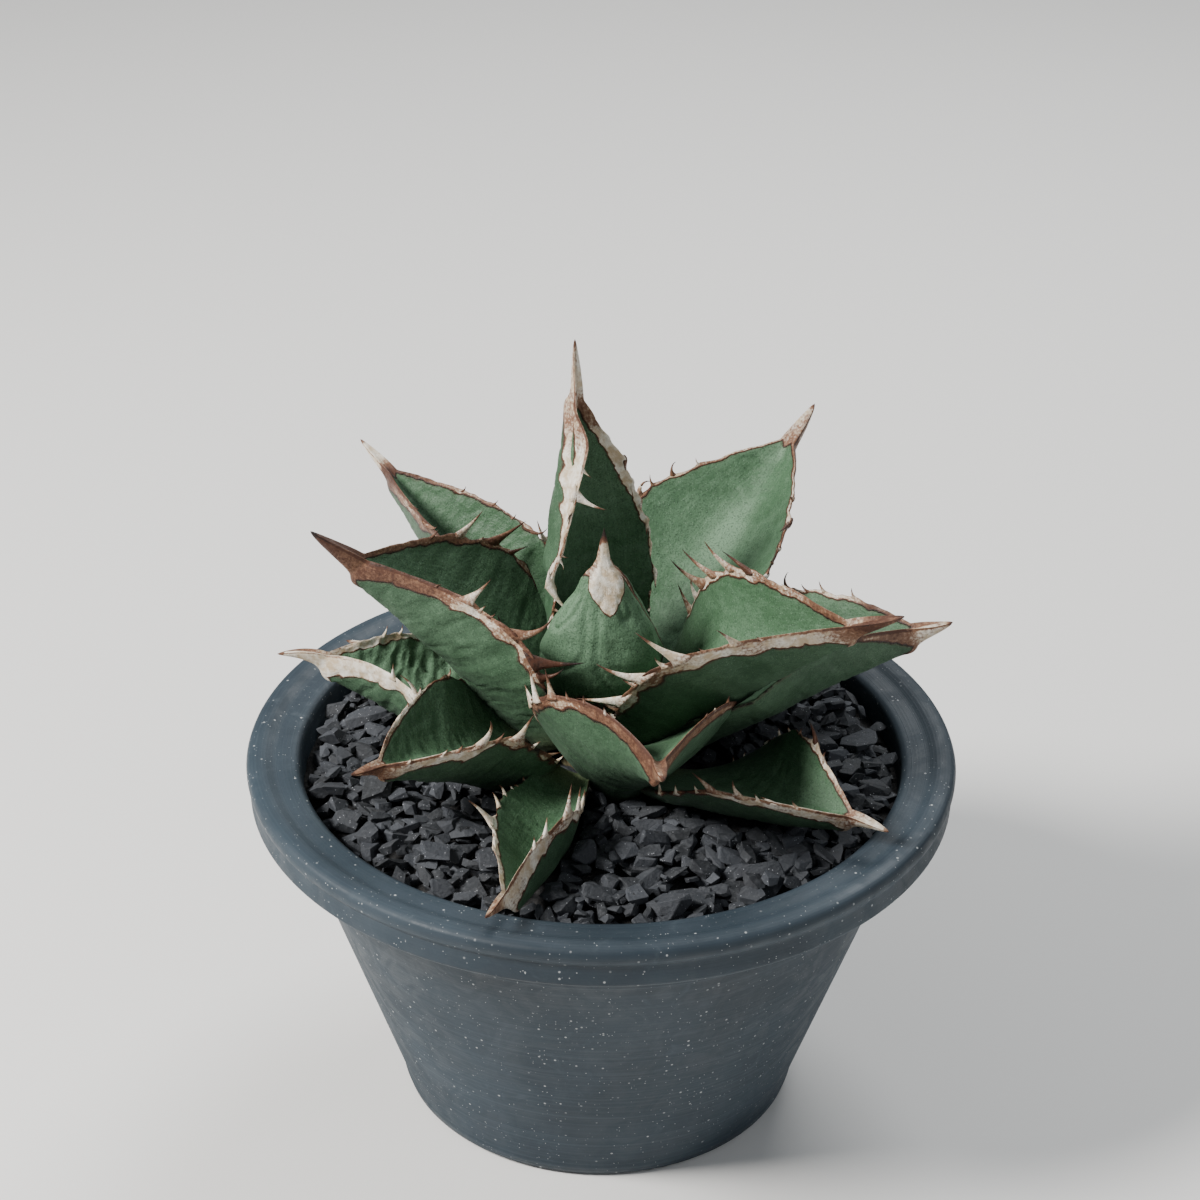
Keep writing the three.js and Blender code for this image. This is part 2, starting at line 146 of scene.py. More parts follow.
def addMix(tree, factor, first, second):
    node = tree.nodes.new("ShaderNodeMix")
    node.data_type = "RGBA"
    for index, value in ((0, factor), (6, first), (7, second)):
        if isinstance(value, (int, float)):
            node.inputs[index].default_value = value
        elif isinstance(value, tuple):
            node.inputs[index].default_value = (*value, 1)
        else:
            tree.links.new(value, node.inputs[index])
    return node.outputs[2]


def addRange(tree, value, low, high, newLow=0.0, newHigh=1.0):
    node = tree.nodes.new("ShaderNodeMapRange")
    node.interpolation_type = "SMOOTHSTEP"
    tree.links.new(value, node.inputs[0])
    for index, number in enumerate((low, high, newLow, newHigh)):
        node.inputs[index + 1].default_value = number
    return node.outputs[0]


def addNoise(tree, vector, scale, detail=3.0, rough=0.55, distortion=0.0):
    node = addNode(tree, "ShaderNodeTexNoise", Scale=scale, Detail=detail, Roughness=rough,
                   Distortion=distortion)
    tree.links.new(vector, node.inputs["Vector"])
    return node.outputs["Fac"]


def addDrift(tree, value, wander, amount):
    return add(tree, value, multiply(tree, addMath(tree, "SUBTRACT", wander, 0.5), amount))


def newGroup(name, inputs, outputs):
    group = bpy.data.node_groups.new(name, "ShaderNodeTree")
    for socket, kind, value in inputs:
        made = group.interface.new_socket(socket, in_out="INPUT", socket_type=kind)
        if value is not None:
            made.default_value = value
    for socket, kind in outputs:
        group.interface.new_socket(socket, in_out="OUTPUT", socket_type=kind)
    start = group.nodes.new("NodeGroupInput")
    end = group.nodes.new("NodeGroupOutput")
    return group, start, end


# fine grit: a speckle mask and a height, for powdery skin, stone and plastic alike
def makeSpeckleGroup():
    group, start, end = newGroup(
        "speckle",
        [("Vector", "NodeSocketVector", None), ("Size", "NodeSocketFloat", 1.0),
         ("Amount", "NodeSocketFloat", 0.5)],
        [("Mask", "NodeSocketFloat"), ("Height", "NodeSocketFloat")])
    scaled = group.nodes.new("ShaderNodeVectorMath")
    scaled.operation = "SCALE"
    group.links.new(start.outputs["Vector"], scaled.inputs[0])
    inverse = addMath(group, "DIVIDE", 1000.0, start.outputs["Size"])
    group.links.new(inverse, scaled.inputs["Scale"])
    cells = addNode(group, "ShaderNodeTexVoronoi", Scale=1.0)
    group.links.new(scaled.outputs[0], cells.inputs["Vector"])
    grains = addNoise(group, scaled.outputs[0], 0.7, 4.0, 0.6)
    pick = addNode(group, "ShaderNodeSeparateColor")
    group.links.new(cells.outputs["Color"], pick.inputs[0])
    limit = addMath(group, "SUBTRACT", 1.0, start.outputs["Amount"])
    chosen = addMath(group, "GREATER_THAN", pick.outputs[0], limit)
    dot = addRange(group, cells.outputs["Distance"], 0.32, 0.12)
    mask = addMath(group, "MULTIPLY", chosen, dot)
    height = addMath(group, "ADD", grains, addMath(group, "MULTIPLY", mask, 0.5))
    group.links.new(mask, end.inputs["Mask"])
    group.links.new(height, end.inputs["Height"])
    return group


speckleGroup = makeSpeckleGroup()


def addSpeckle(tree, vector, size, amount):
    node = tree.nodes.new("ShaderNodeGroup")
    node.node_tree = speckleGroup
    tree.links.new(vector, node.inputs["Vector"])
    node.inputs["Size"].default_value = size
    node.inputs["Amount"].default_value = amount
    return node.outputs["Mask"], node.outputs["Height"]


def addBump(tree, height, distance, strength=1.0, normal=None):
    node = addNode(tree, "ShaderNodeBump", Strength=strength, Distance=distance)
    tree.links.new(height, node.inputs["Height"])
    if normal is not None:
        tree.links.new(normal, node.inputs["Normal"])
    return node.outputs["Normal"]


def objectCoords(tree):
    return tree.nodes.new("ShaderNodeTexCoord").outputs["Object"]


def attribute(tree, name):
    return addNode(tree, "ShaderNodeAttribute", attribute_name=name).outputs["Fac"]


# colours of the leaf skin and of the horn on its margin, teeth and spine
leafColours = {
    "inner": (0.048, 0.108, 0.052),
    "innerPale": (0.128, 0.222, 0.134),
    "outer": (0.034, 0.078, 0.038),
    "outerPale": (0.068, 0.130, 0.072),
    "base": (0.085, 0.100, 0.042),
    "powder": (0.34, 0.46, 0.33),
    "stipple": (0.018, 0.044, 0.022),
    "seam": (0.07, 0.040, 0.022),
    "bone": (0.50, 0.39, 0.26),
    "white": (0.78, 0.74, 0.65),
    "tan": (0.205, 0.105, 0.060),
    "rust": (0.070, 0.026, 0.014),
    "dark": (0.016, 0.008, 0.006),
}


def makeLeafMaterial():
    colours = leafColours
    material, tree, links, shader = newMaterial("agaveLeaf")
    place = objectCoords(tree)
    along = attribute(tree, "along")
    across = attribute(tree, "across")
    inner = attribute(tree, "inner")
    horn = attribute(tree, "horn")
    rust = attribute(tree, "rust")

    # skin: deep green under a powdery bloom that is rubbed off in patches; on the inner face a
    # painted highlight down the midrib and painted light that makes it paler
    grain = tree.nodes.new("ShaderNodeCombineXYZ")
    links.new(multiply(tree, across, 14.0), grain.inputs[0])
    links.new(multiply(tree, along, 2.2), grain.inputs[1])
    streaks = addNoise(tree, grain.outputs[0], 1.6, 5.0, 0.6)
    patches = addNoise(tree, place, 55.0, 4.0, 0.6)
    mottles = addNoise(tree, place, 330.0, 3.0, 0.65)
    # painted highlight: a pale band down the midrib of the inner face, then painted light that
    # makes the whole inner face paler
    midribHighlight = addRange(tree, addMath(tree, "ABSOLUTE", across), 0.30, 0.02)
    midribHighlight = multiply(tree, midribHighlight, addRange(tree, patches, 0.3, 0.7))
    midribHighlight = multiply(tree, midribHighlight, attribute(tree, "rib"))
    midribHighlight = add(tree, midribHighlight, attribute(tree, "paintedLight"))
    bloomAndHighlightIn = add(tree, midribHighlight, addRange(tree, streaks, 0.42, 0.78, 0.0, 0.30))
    bloomAndHighlightIn = add(tree, bloomAndHighlightIn, addRange(tree, patches, 0.38, 0.70, 0.0, 0.35))
    bloomAndHighlightIn = add(tree, bloomAndHighlightIn, addRange(tree, mottles, 0.45, 0.7, 0.0, 0.25))
    skinIn = addMix(tree, addMath(tree, "MINIMUM", bloomAndHighlightIn, 1.0),
                    colours["inner"], colours["innerPale"])
    bloomOut = add(tree, addRange(tree, patches, 0.35, 0.70, 0.0, 0.6),
                   addRange(tree, mottles, 0.42, 0.68, 0.0, 0.5))
    skinOut = addMix(tree, addMath(tree, "MINIMUM", bloomOut, 1.0),
                     colours["outer"], colours["outerPale"])
    skin = addMix(tree, inner, skinOut, skinIn)
    pale = addRange(tree, along, 0.16, 0.0, 0.0, 0.8)
    skin = addMix(tree, pale, skin, colours["base"])
    mask, dust = addSpeckle(tree, place, 0.42, 0.45)
    skin = addMix(tree, multiply(tree, mask, 0.25), skin, colours["powder"])
    stipple = addNoise(tree, place, 2600.0, 2.0, 0.6)
    skin = addMix(tree, addRange(tree, stipple, 0.52, 0.32, 0.0, 0.60), skin,
                  colours["stipple"])

    # horn: bone to rust, streaked along, darkest on the points
    hornNoise = addNoise(tree, place, 420.0, 5.0, 0.65)
    hornSpots = addNoise(tree, place, 1500.0, 3.0, 0.6)
    hornStreaks = addNoise(tree, grain.outputs[0], 5.0, 4.0, 0.6)
    bone = addMix(tree, addRange(tree, hornNoise, 0.35, 0.65), colours["bone"], colours["white"])
    tone = addDrift(tree, rust, hornNoise, 0.8)
    tone = addDrift(tree, tone, hornStreaks, 0.55)
    tone = addDrift(tree, tone, hornSpots, 0.85)
    edge = addDrift(tree, horn, hornNoise, 1.5)
    tone = add(tree, tone, addRange(tree, edge, 0.50, 0.05, 0.0, 0.95))
    lip = addRange(tree, addMath(tree, "ABSOLUTE", across), 0.975, 0.998, 0.0, 0.40)
    tone = add(tree, tone, lip)
    hornColour = addMix(tree, addRange(tree, tone, 0.26, 0.66), bone, colours["tan"])
    hornColour = addMix(tree, addRange(tree, tone, 0.55, 1.05), hornColour, colours["rust"])
    hornColour = addMix(tree, addRange(tree, tone, 1.20, 1.70), hornColour, colours["dark"])
    hornMask = addRange(tree, edge, -0.08, 0.10)
    seam = multiply(tree, addRange(tree, edge, -0.45, -0.05),
                    addRange(tree, edge, 0.35, 0.0))
    skin = addMix(tree, multiply(tree, seam, 0.45), skin, colours["seam"])
    links.new(addMix(tree, hornMask, skin, hornColour), shader.inputs["Base Color"])

    # roughness and relief
    skinRough = addRange(tree, patches, 0.3, 0.7, 0.50, 0.64)
    hornRough = addRange(tree, hornNoise, 0.3, 0.7, 0.38, 0.62)
    rough = addNode(tree, "ShaderNodeMix", data_type="FLOAT")
    links.new(hornMask, rough.inputs[0])
    links.new(skinRough, rough.inputs[2])
    links.new(hornRough, rough.inputs[3])
    links.new(rough.outputs[0], shader.inputs["Roughness"])
    relief = add(tree, multiply(tree, dust, 0.45), multiply(tree, streaks, 0.4))
    relief = add(tree, relief, mottles)
    fine = addBump(tree, relief, 0.20 * mm, 0.9)
    hornRelief = add(tree, hornMask, multiply(tree, hornNoise, 0.8))
    links.new(addBump(tree, hornRelief, 0.4 * mm, 0.9, fine), shader.inputs["Normal"])
    shader.inputs["Specular IOR Level"].default_value = 0.30
    shader.inputs["Sheen Weight"].default_value = 0.03
    shader.inputs["Sheen Roughness"].default_value = 0.5
    shader.inputs["Sheen Tint"].default_value = (0.82, 0.92, 0.86, 1)
    return material


leafMaterial = makeLeafMaterial()
print("materials: leaf ready")

# Angles in degrees, sizes in millimetres. folds: trough half-angles at base, middle and tip.
# teeth: share of the blade, side, height, lean to the base, curl back, tone where it is known.
# rust: 0 bone, 1 red-brown. band: width of the horn. rib: strength of the painted highlight along
# the midrib. wrinkle: crinkled skin.
# paintedLight: painted light that makes the inner face paler. out: how far teeth lean outwards.
# curlIn: side and height of a
# rolled margin. slim: sides kept narrow low on the blade. bare: side without horn or teeth.
leafPieces = [
    {"node": "leaf_01", "azimuth": 124, "rise": 84, "lift": 5, "swing": 2, "blade": 74,
     "spine": 14, "half": 17, "thick": 5, "stand": 6.5, "climb": 3, "folds": (33, 18, 41),
     "roll": 1, "twist": 4, "hook": -5, "rust": 0.14, "spineRust": 0.02, "band": 2.4,
     "out": -0.75, "curlIn": (1, 3.4), "rib": 0.05,
     "teeth": ((0.84, 1, 2.4, 50, 20), (0.775, 1, 6.6, 40, 34, 0.0), (0.70, 1, 4.4, -60, 20, 0.1),
               (0.52, 1, 8.0, 74, 40, -0.2), (0.36, 1, 4.4, 50, 20, -0.2),
               (0.80, -1, 3.4, 40, 60, 0.6), (0.72, -1, 2.8, 60, 30), (0.65, -1, 2.4, 50, 60),
               (0.58, -1, 3.2, 60, 20), (0.49, -1, 2.8, 50, 30), (0.40, -1, 3.6, 40, 20))},
    {"node": "leaf_02", "azimuth": 49, "rise": 43, "lift": -8, "swing": 0, "blade": 72,
     "spine": 12, "half": 25, "thick": 8, "stand": 9, "climb": 2, "folds": (25, 28, 21),
     "roll": 1, "twist": -1, "hook": 2, "rust": 0.42, "spineRust": 0.35, "band": 0.9,
     "rib": 0.85,
     "teeth": ((0.72, -1, 5.2, 50, 10, 0.75), (0.62, -1, 2.2), (0.52, -1, 3.2, 30, 30, -0.1),
               (0.45, -1, 5.0), (0.80, 1, 1.8), (0.72, 1, 3.6, 0, 120, 0.6),
               (0.66, 1, 2.6, 0, 60), (0.60, 1, 4.8, -20, 150, 0.3), (0.48, 1, 4.4))},
    {"node": "leaf_03", "azimuth": 144, "rise": 45, "lift": -14, "swing": -8, "blade": 69,
     "spine": 12, "half": 19, "thick": 8, "stand": 9.5, "climb": 0, "folds": (25, 55, 44),
     "roll": 0, "twist": 0, "hook": -8, "rust": 0.55, "spineRust": 0.05, "band": 1.1,
     "wrinkle": 0.5, "slim": ((1, 0.42, 0.70),),
     "teeth": ((0.75, 1, 4.6, 72, 78, 0.4),
               (0.80, -1, 1.4), (0.70, -1, 1.8), (0.56, -1, 4.4, 80, 100, 0.6),
               (0.47, -1, 3.2, 72, 118, 0.8), (0.38, -1, 5.0), (0.30, -1, 4.4))},
    {"node": "leaf_04", "azimuth": 179, "rise": 45, "lift": -2, "swing": 16, "blade": 62,
     "spine": 14, "half": 26, "thick": 8, "stand": 8.5, "climb": 1, "folds": (20, 37, 44),
     "roll": -2, "twist": 3, "hook": -5, "rust": 0.54, "spineRust": 1.05, "band": 1.7,
     "wrinkle": 0.35,
     "teeth": ((0.72, 1, 7.0, 2, 14, 0.15), (0.56, 1, 9.6, 56, 84, 0.35),
               (0.44, 1, 9.8, 52, 22, 1.0), (0.36, 1, 5.6, 40, 60, 0.8),
               (0.78, -1, 2.2), (0.68, -1, 6.8, 10, 10, 0.1), (0.56, -1, 8.0, 24, 6, 0.55),
               (0.48, -1, 4.0, 30, 0, 0.8), (0.40, -1, 7.4, 60, 40, -0.1),
               (0.31, -1, 6.4, 50, 60, -0.1))},
    {"node": "leaf_05", "azimuth": 327, "rise": 49, "lift": -19, "swing": 3, "blade": 68,
     "spine": 14, "half": 23, "thick": 8, "stand": 8, "climb": 1, "folds": (14, 42, 58),
     "roll": 4, "twist": 18, "hook": -3, "rust": 0.30, "spineRust": 0.85, "band": 1.9,
     "teeth": ((0.74, -1, 5.4, -8, -10, 0.15), (0.66, -1, 1.4), (0.60, -1, 9.8, 16, 10, 0.1),
               (0.54, -1, 3.2, 20, 60), (0.475, -1, 9.4, 58, 50, 0.05), (0.43, -1, 3.0),
               (0.36, -1, 9.0, 58, 10, 0.0), (0.30, -1, 3.4, 40, 50),
               (0.68, 1, 6.4, 26, 0, 0.7), (0.60, 1, 7.4, 34, 34, 0.2),
               (0.50, 1, 8.0, 38, 24, 0.35), (0.43, 1, 8.6, 46, 30, 0.3),
               (0.36, 1, 4.4, 10, 60), (0.30, 1, 6.0, 0, 20))},
    {"node": "leaf_06", "azimuth": 287, "rise": 43, "lift": -26, "swing": -11, "blade": 51,
     "spine": 10, "half": 24, "thick": 10, "stand": 10.5, "climb": -2, "folds": (25, 26, 49),
     "roll": -4, "twist": -4, "hook": 0, "rust": 0.58, "spineRust": 0.45, "band": 1.6,
     "teeth": ((0.72, -1, 1.6), (0.58, -1, 5.6, -8, 6, 0.3), (0.48, -1, 6.6, -14, -10, -0.1),
               (0.40, -1, 6.4, 40, 30, -0.1), (0.32, -1, 5.4, 0, 50, 0.0),
               (0.22, -1, 7.6, -10, -30, 0.1), (0.15, -1, 4.0, 20, 120, -0.2),
               (0.10, -1, 4.0, 0, 120, -0.2), (0.64, 1, 1.8), (0.42, 1, 5.6, -10, 70, 0.0),
               (0.33, 1, 8.0, -10, -10, 0.2), (0.26, 1, 5.4, 50, 90, -0.2),
               (0.18, 1, 4.4, -50, 60, -0.1))},
    {"node": "leaf_07", "azimuth": 355, "rise": 31, "lift": -8, "swing": -1, "blade": 66,
     "spine": 9, "half": 24, "thick": 8, "stand": 9.5, "climb": -1, "folds": (25, 21, 52),
     "roll": 0, "twist": 0, "hook": -3, "rust": 0.42, "spineRust": 0.40, "band": 1.2, "bare": -1,
     "teeth": ((0.84, 1, 2.2), (0.74, 1, 2.6), (0.62, 1, 4.4, 42, 118, 0.5), (0.50, 1, 5.0))},
    {"node": "leaf_08", "azimuth": 92, "rise": 28, "lift": -14, "swing": 3, "blade": 55,
     "spine": 11, "half": 22, "thick": 8, "stand": 10, "climb": -1, "folds": (25, 34, 48),
     "roll": 0, "twist": 3, "hook": -6, "rust": 0.40, "spineRust": 0.30, "band": 1.5,
     "rib": 0.3,
     "teeth": ((0.74, 1, 5.4), (0.62, 1, 7.4, 62, 88), (0.48, 1, 6.6), (0.70, -1, 4.8),
               (0.58, -1, 7.0, 42, 58), (0.45, -1, 7.2, 72, 98))},
    {"node": "leaf_09", "azimuth": 215, "rise": 26, "lift": -15, "swing": 7, "blade": 43,
     "spine": 8, "half": 18, "thick": 8, "stand": 18.5, "climb": -2, "folds": (21, 45, 39),
     "roll": -3, "twist": -7, "hook": -6, "rust": 0.38, "spineRust": 0.50, "band": 1.4,
     "wrinkle": 0.4,
     "teeth": ((0.66, -1, 1.6), (0.48, -1, 4.0, 60, 110, 0.3), (0.34, -1, 3.0),
               (0.92, 1, 1.4), (0.66, 1, 7.4, 30, 80, 0.1), (0.46, 1, 7.0, -4, 0, 0.15),
               (0.36, 1, 1.8), (0.24, 1, 5.0, 70, 10, 0.4), (0.14, 1, 3.6, 40, 40, -0.1))},
    {"node": "leaf_10", "azimuth": 22, "rise": 17, "lift": -10, "swing": 4, "blade": 52,
     "spine": 10, "half": 20, "thick": 6.5, "stand": 12, "climb": -3, "folds": (18, 28, 44),
     "roll": 0, "twist": -4, "hook": -5, "rust": 0.45, "spineRust": 0.40, "band": 1.4,
     "teeth": ((0.74, 1, 3.8), (0.60, 1, 5.4, 52, 98), (0.45, 1, 5.6), (0.68, -1, 4.8),
               (0.52, -1, 6.0, 42, 78))},
    # leaf_11: painted light makes its inner face paler
    {"node": "leaf_11", "azimuth": 179, "rise": 16, "lift": 10, "swing": 0, "blade": 53,
     "spine": 11, "half": 19, "thick": 5.5, "stand": 12.5, "climb": -3, "folds": (15, 18, 59),
     "roll": 2, "twist": 3, "hook": -40, "rust": 0.02, "spineRust": 0.25, "band": 1.9,
     "paintedLight": 0.8, "wrinkle": 0.95, "slim": ((1, 0.36, 0.56), (-1, 0.22, 0.42)),
     "teeth": ((0.62, 1, 6.4, -18, 58, -0.1), (0.74, 1, 3.6, -20, 0, -0.1),
               (0.62, -1, 3.4, 72, 98, -0.1), (0.74, -1, 2.2))},
    {"node": "leaf_12", "azimuth": 121, "rise": 15, "lift": -8, "swing": -5, "blade": 50,
     "spine": 10, "half": 18, "thick": 6, "stand": 12.5, "climb": -3, "folds": (16, 26, 46),
     "roll": 0, "twist": 3, "hook": -8, "rust": 0.30, "spineRust": 0.25, "band": 1.6,
     "wrinkle": 0.6,
     "teeth": ((0.72, 1, 4.6), (0.58, 1, 5.2), (0.66, -1, 4.6), (0.50, -1, 6.0, 62, 98),
               (0.45, 1, 4.4))},
    {"node": "leaf_13", "azimuth": 319, "rise": 8, "lift": -4, "swing": 14, "blade": 47,
     "spine": 9, "half": 19, "thick": 5, "stand": 19.5, "climb": -3, "folds": (-10, 28, 46),
     "roll": -18, "twist": 30, "hook": -20, "rust": 0.24, "spineRust": 0.20, "band": 1.5,
     "rib": 0.1,
     "teeth": ((0.70, 1, 4.6, 10, -30, 0.7), (0.62, -1, 4.8, 32, 58, 0.2),
               (0.52, -1, 5.4, 40, -10, 0.3), (0.44, -1, 1.6), (0.34, -1, 2.2, 0, 20, -0.1),
               (0.24, -1, 2.6, 0, 20, -0.1))},
    {"node": "leaf_14", "azimuth": 255, "rise": -15, "lift": 30, "swing": -4, "blade": 50,
     "spine": 12, "half": 13.5, "thick": 5.5, "stand": 19, "climb": -1, "folds": (25, 46, 66),
     "roll": 1, "twist": 24, "hook": -4, "rust": 0.14, "spineRust": 0.35, "band": 1.5,
     "slim": ((1, 0.22, 0.60),),
     "teeth": ((0.60, -1, 6.4, -10, 20, -0.1), (0.76, -1, 3.0, 60, 20), (0.46, -1, 3.0),
               (0.80, 1, 2.0), (0.72, 1, 3.4, 20, 10), (0.58, 1, 6.0, 0, -30, 0.1),
               (0.46, 1, 5.6, -10, -20, 0.1), (0.36, 1, 4.0), (0.26, 1, 3.4, 10, 20))},
    {"node": "leaf_15", "azimuth": 68, "rise": 7, "lift": -3, "swing": 6, "blade": 48,
     "spine": 9, "half": 16, "thick": 5, "stand": 14, "climb": -3, "folds": (14, 24, 42),
     "roll": 0, "twist": 5, "hook": -10, "rust": 0.25, "spineRust": 0.30, "band": 1.6,
     "wrinkle": 0.8,
     "teeth": ((0.72, 1, 4.2), (0.56, 1, 5.0), (0.64, -1, 5.0), (0.48, -1, 5.2))},
    {"node": "leaf_16", "azimuth": 153, "rise": 8, "lift": -2, "swing": -3, "blade": 46,
     "spine": 9, "half": 14, "thick": 5, "stand": 14, "climb": -3, "folds": (14, 24, 42),
     "roll": 0, "twist": 3, "hook": -12, "rust": 0.20, "spineRust": 0.30, "band": 1.6,
     "wrinkle": 0.8,
     "teeth": ((0.72, 1, 3.8), (0.60, -1, 4.4), (0.50, 1, 4.6))},
]
leafShape = {
    "rows": 150, "around": 72, "baseShare": 0.55, "widestAt": 0.44, "tipShare": 0.09,
    "taper": 1.75, "tipThick": 3.0, "edgeThick": 1.1, "soft": 0.5, "waviness": 0.8,
    "toothBump": 1.2, "crease": 0.5, "spineHalf": 1.45, "spineTaper": 0.62,
    "bandGain": 1.15, "slimShare": 0.45, "keelOut": 5.0, "keelIn": 1.5,
}
# small teeth are scattered between the placed ones: number a side, reach along the blade,
# height, lean and curl, least gap to a placed tooth
toothShape = {
    "steps": 14, "around": 10, "gain": 1.15, "least": 0.7, "clear": 0.80, "broad": 0.25,
    "small": 11, "reach": (0.14, 0.84), "height": (1.0, 2.8), "lean": (-10, 60),
    "curl": (-60, 90), "gap": 3.0,
}


def widthShare(t):
    shape = leafShape
    if t < shape["widestAt"]:
        return mix(shape["baseShare"], 1, math.sin(math.pi / 2 * t / shape["widestAt"]))
    rest = (t - shape["widestAt"]) / (1 - shape["widestAt"])
    return mix(shape["tipShare"], 1, 1 - rest ** shape["taper"])


def troughShare(v):
    soft = leafShape["soft"]
    return (math.hypot(v, soft) - soft) / (math.hypot(1, soft) - soft)


# the line a leaf grows along, as many frames; lengths in millimetres
def leafLine(leaf, rows):
    whole = leaf["blade"] + leaf["spine"]
    turn = math.radians(leaf["azimuth"])
    point = Vector((math.cos(turn), math.sin(turn), 0)) * leaf["stand"] * mm
    point.z = crownLevel + leaf["climb"] * mm
    line = []
    for row in range(rows + 1):
        along = whole * row / rows
        onBlade = min(1, along / leaf["blade"])
        onSpine = max(0, along - leaf["blade"]) / leaf["spine"]
        rise = math.radians(leaf["rise"] + leaf["lift"] * onBlade + leaf["hook"] * onSpine)
        turn = math.radians(leaf["azimuth"] + leaf["swing"] * onBlade)
        flat = math.cos(rise)
        heading = Vector((flat * math.cos(turn), flat * math.sin(turn), math.sin(rise)))
        if line:
            point = point + (heading + line[-1]["heading"]).normalized() * (whole / rows * mm)
        side = Vector((-math.sin(turn), math.cos(turn), 0))
        roll = math.radians(leaf["roll"] + leaf["twist"] * onBlade)
        side = Matrix.Rotation(roll, 3, heading) @ side
        up = heading.cross(side)
        line.append({"along": along, "onBlade": onBlade, "onSpine": onSpine, "point": point,
                     "heading": heading, "side": side, "up": up})
    return line


def foldAt(leaf, station):
    low, middle, high = leaf["folds"]
    t = station["onBlade"] * 2
    fold = mix(low, middle, t) if t < 1 else mix(middle, high, t - 1)
    return math.radians(fold * (1 - station["onSpine"]))


# the margin waves a little and swells under each tooth
def halfAt(leaf, station, side, seed):
    half = max(leaf["half"] * widthShare(station["onBlade"]), leafShape["spineHalf"])
    fade = smooth(0.0, 0.12, 1 - station["onBlade"])
    wave = noise.noise(Vector((station["along"] * 0.19, side * 3.1, seed)))
    wave += 0.5 * noise.noise(Vector((station["along"] * 0.62, side * 3.1, seed + 3)))
    half += wave * leafShape["waviness"] * fade
    for slimSide, slimLow, slimHigh in leaf.get("slim", ()):
        if side == slimSide:
            half *= mix(leafShape["slimShare"], 1, smooth(slimLow, slimHigh, station["onBlade"]))
    for share, toothSide, height, *rest in leaf["teeth"]:
        if toothSide == side:
            apart = (station["along"] - share * leaf["blade"]) / (0.28 * height + 0.7)
            half += leafShape["toothBump"] * fade * math.exp(-apart * apart) * height / 6
    return half * (1 - station["onSpine"]) ** leafShape["spineTaper"] * mm


# a point of the leaf's upper face, v from -1 to 1 across it
def facePoint(leaf, station, v, seed):
    half = halfAt(leaf, station, 1 if v > 0 else -1, seed)
    if abs(v) < 0.6:
        other = halfAt(leaf, station, -1 if v > 0 else 1, seed)
        half = mix((half + other) / 2, half, abs(v) / 0.6)
    fold = foldAt(leaf, station)
    across = station["side"] * (half * v * math.cos(fold))
    point = station["point"] + across + station["up"] * (half * troughShare(v) * math.sin(fold))
    curlSide, amount = leaf.get("curlIn", (0, 0))
    if v * curlSide > 0:
        reach = smooth(0.45, 1.0, abs(v)) * smooth(0.15, 0.5, station["onBlade"])
        reach *= smooth(0.0, 0.12, 1 - station["onBlade"]) * amount * mm
        point = point + (station["up"] * 0.9 - station["side"] * curlSide * 0.9) * reach
    return point


# millimetres inside the horn, below 0 on green skin
def hornDistance(leaf, station, v, inner, half):
    pastBlade = station["along"] - leaf["blade"]
    onSide = 1 if v > 0 else -1
    band = leaf["band"] * leafShape["bandGain"]
    band *= mix(0.12, 1.20, smooth(0.42, 0.86, station["onBlade"]))
    band *= 0.85 if inner else 1.0
    if onSide == leaf.get("bare", 0):
        band *= smooth(0.80, 0.95, station["onBlade"])
    for share, side, height, *rest in leaf["teeth"]:
        if side == onSide:
            apart = (station["along"] - share * leaf["blade"]) / (0.26 * height + 0.5)
            band += 0.25 * height * math.exp(-apart * apart)
    band *= smooth(0.02, 0.30, station["onBlade"])
    margin = band - (1 - abs(v)) * half / mm
    reach = leafShape["keelIn"] if inner else leafShape["keelOut"]
    keel = pastBlade + reach * (1 - abs(v) * 1.6)
    return max(margin, keel * 0.7, pastBlade)


# wrinkles, folds and dents of the skin
def skinRelief(leaf, station, v, inner, seed):
    along = station["along"]
    across = v * leaf["half"]
    fade = smooth(0.0, 0.25, station["onBlade"]) * smooth(1.0, 0.8, abs(v))
    fade *= smooth(0.0, 0.10, 1 - station["onBlade"])
    wrinkle = leaf.get("wrinkle", 0.25)
    fine = noise.noise(Vector((across * 0.22, along * 0.42 + across * 0.1, seed + 33)))
    ripple = (1 - abs(fine) * 3.2) * wrinkle
    if inner:
        wave = noise.noise(Vector((across * 0.16, along * 0.07, seed + 4.7)))
        return (wave * 0.35 + ripple * 0.55) * fade * mm
    wave = noise.noise(Vector((across * 0.09, along * 0.10, seed + 9.1)))
    fold = noise.noise(Vector((across * 0.13 + along * 0.05, along * 0.12, seed + 21.3)))
    crease = max(0.0, 1 - abs(fold) * 7) ** 2
    dent = noise.noise(Vector((across * 0.30, along * 0.25, seed + 51)))
    return (wave * 0.6 + dent * 0.16 + ripple * 0.4 - crease * leafShape["crease"]) * fade * mm


def treeOf(piece):
    bm = bmesh.new()
    bm.from_mesh(piece.data)
    tree = BVHTree.FromBMesh(bm)
    bm.free()
    return tree


leafTrees = {leaf["node"]: treeOf(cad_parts[leaf["node"]]) for leaf in leafPieces}


# a tooth stops short of the neighbouring leaf, and isn't grown at all inside one
def freeLength(leaf, foot, rise, size):
    start = foot + rise * 0.5 * mm
    for name, tree in leafTrees.items():
        if name == leaf["node"]:
            continue
        hit, normal, face, distance = tree.ray_cast(start, rise, size * toothShape["gain"])
        if hit is None:
            continue
        if normal.dot(rise) > 0:
            return 0
        size = min(size, distance * toothShape["clear"])
    return size


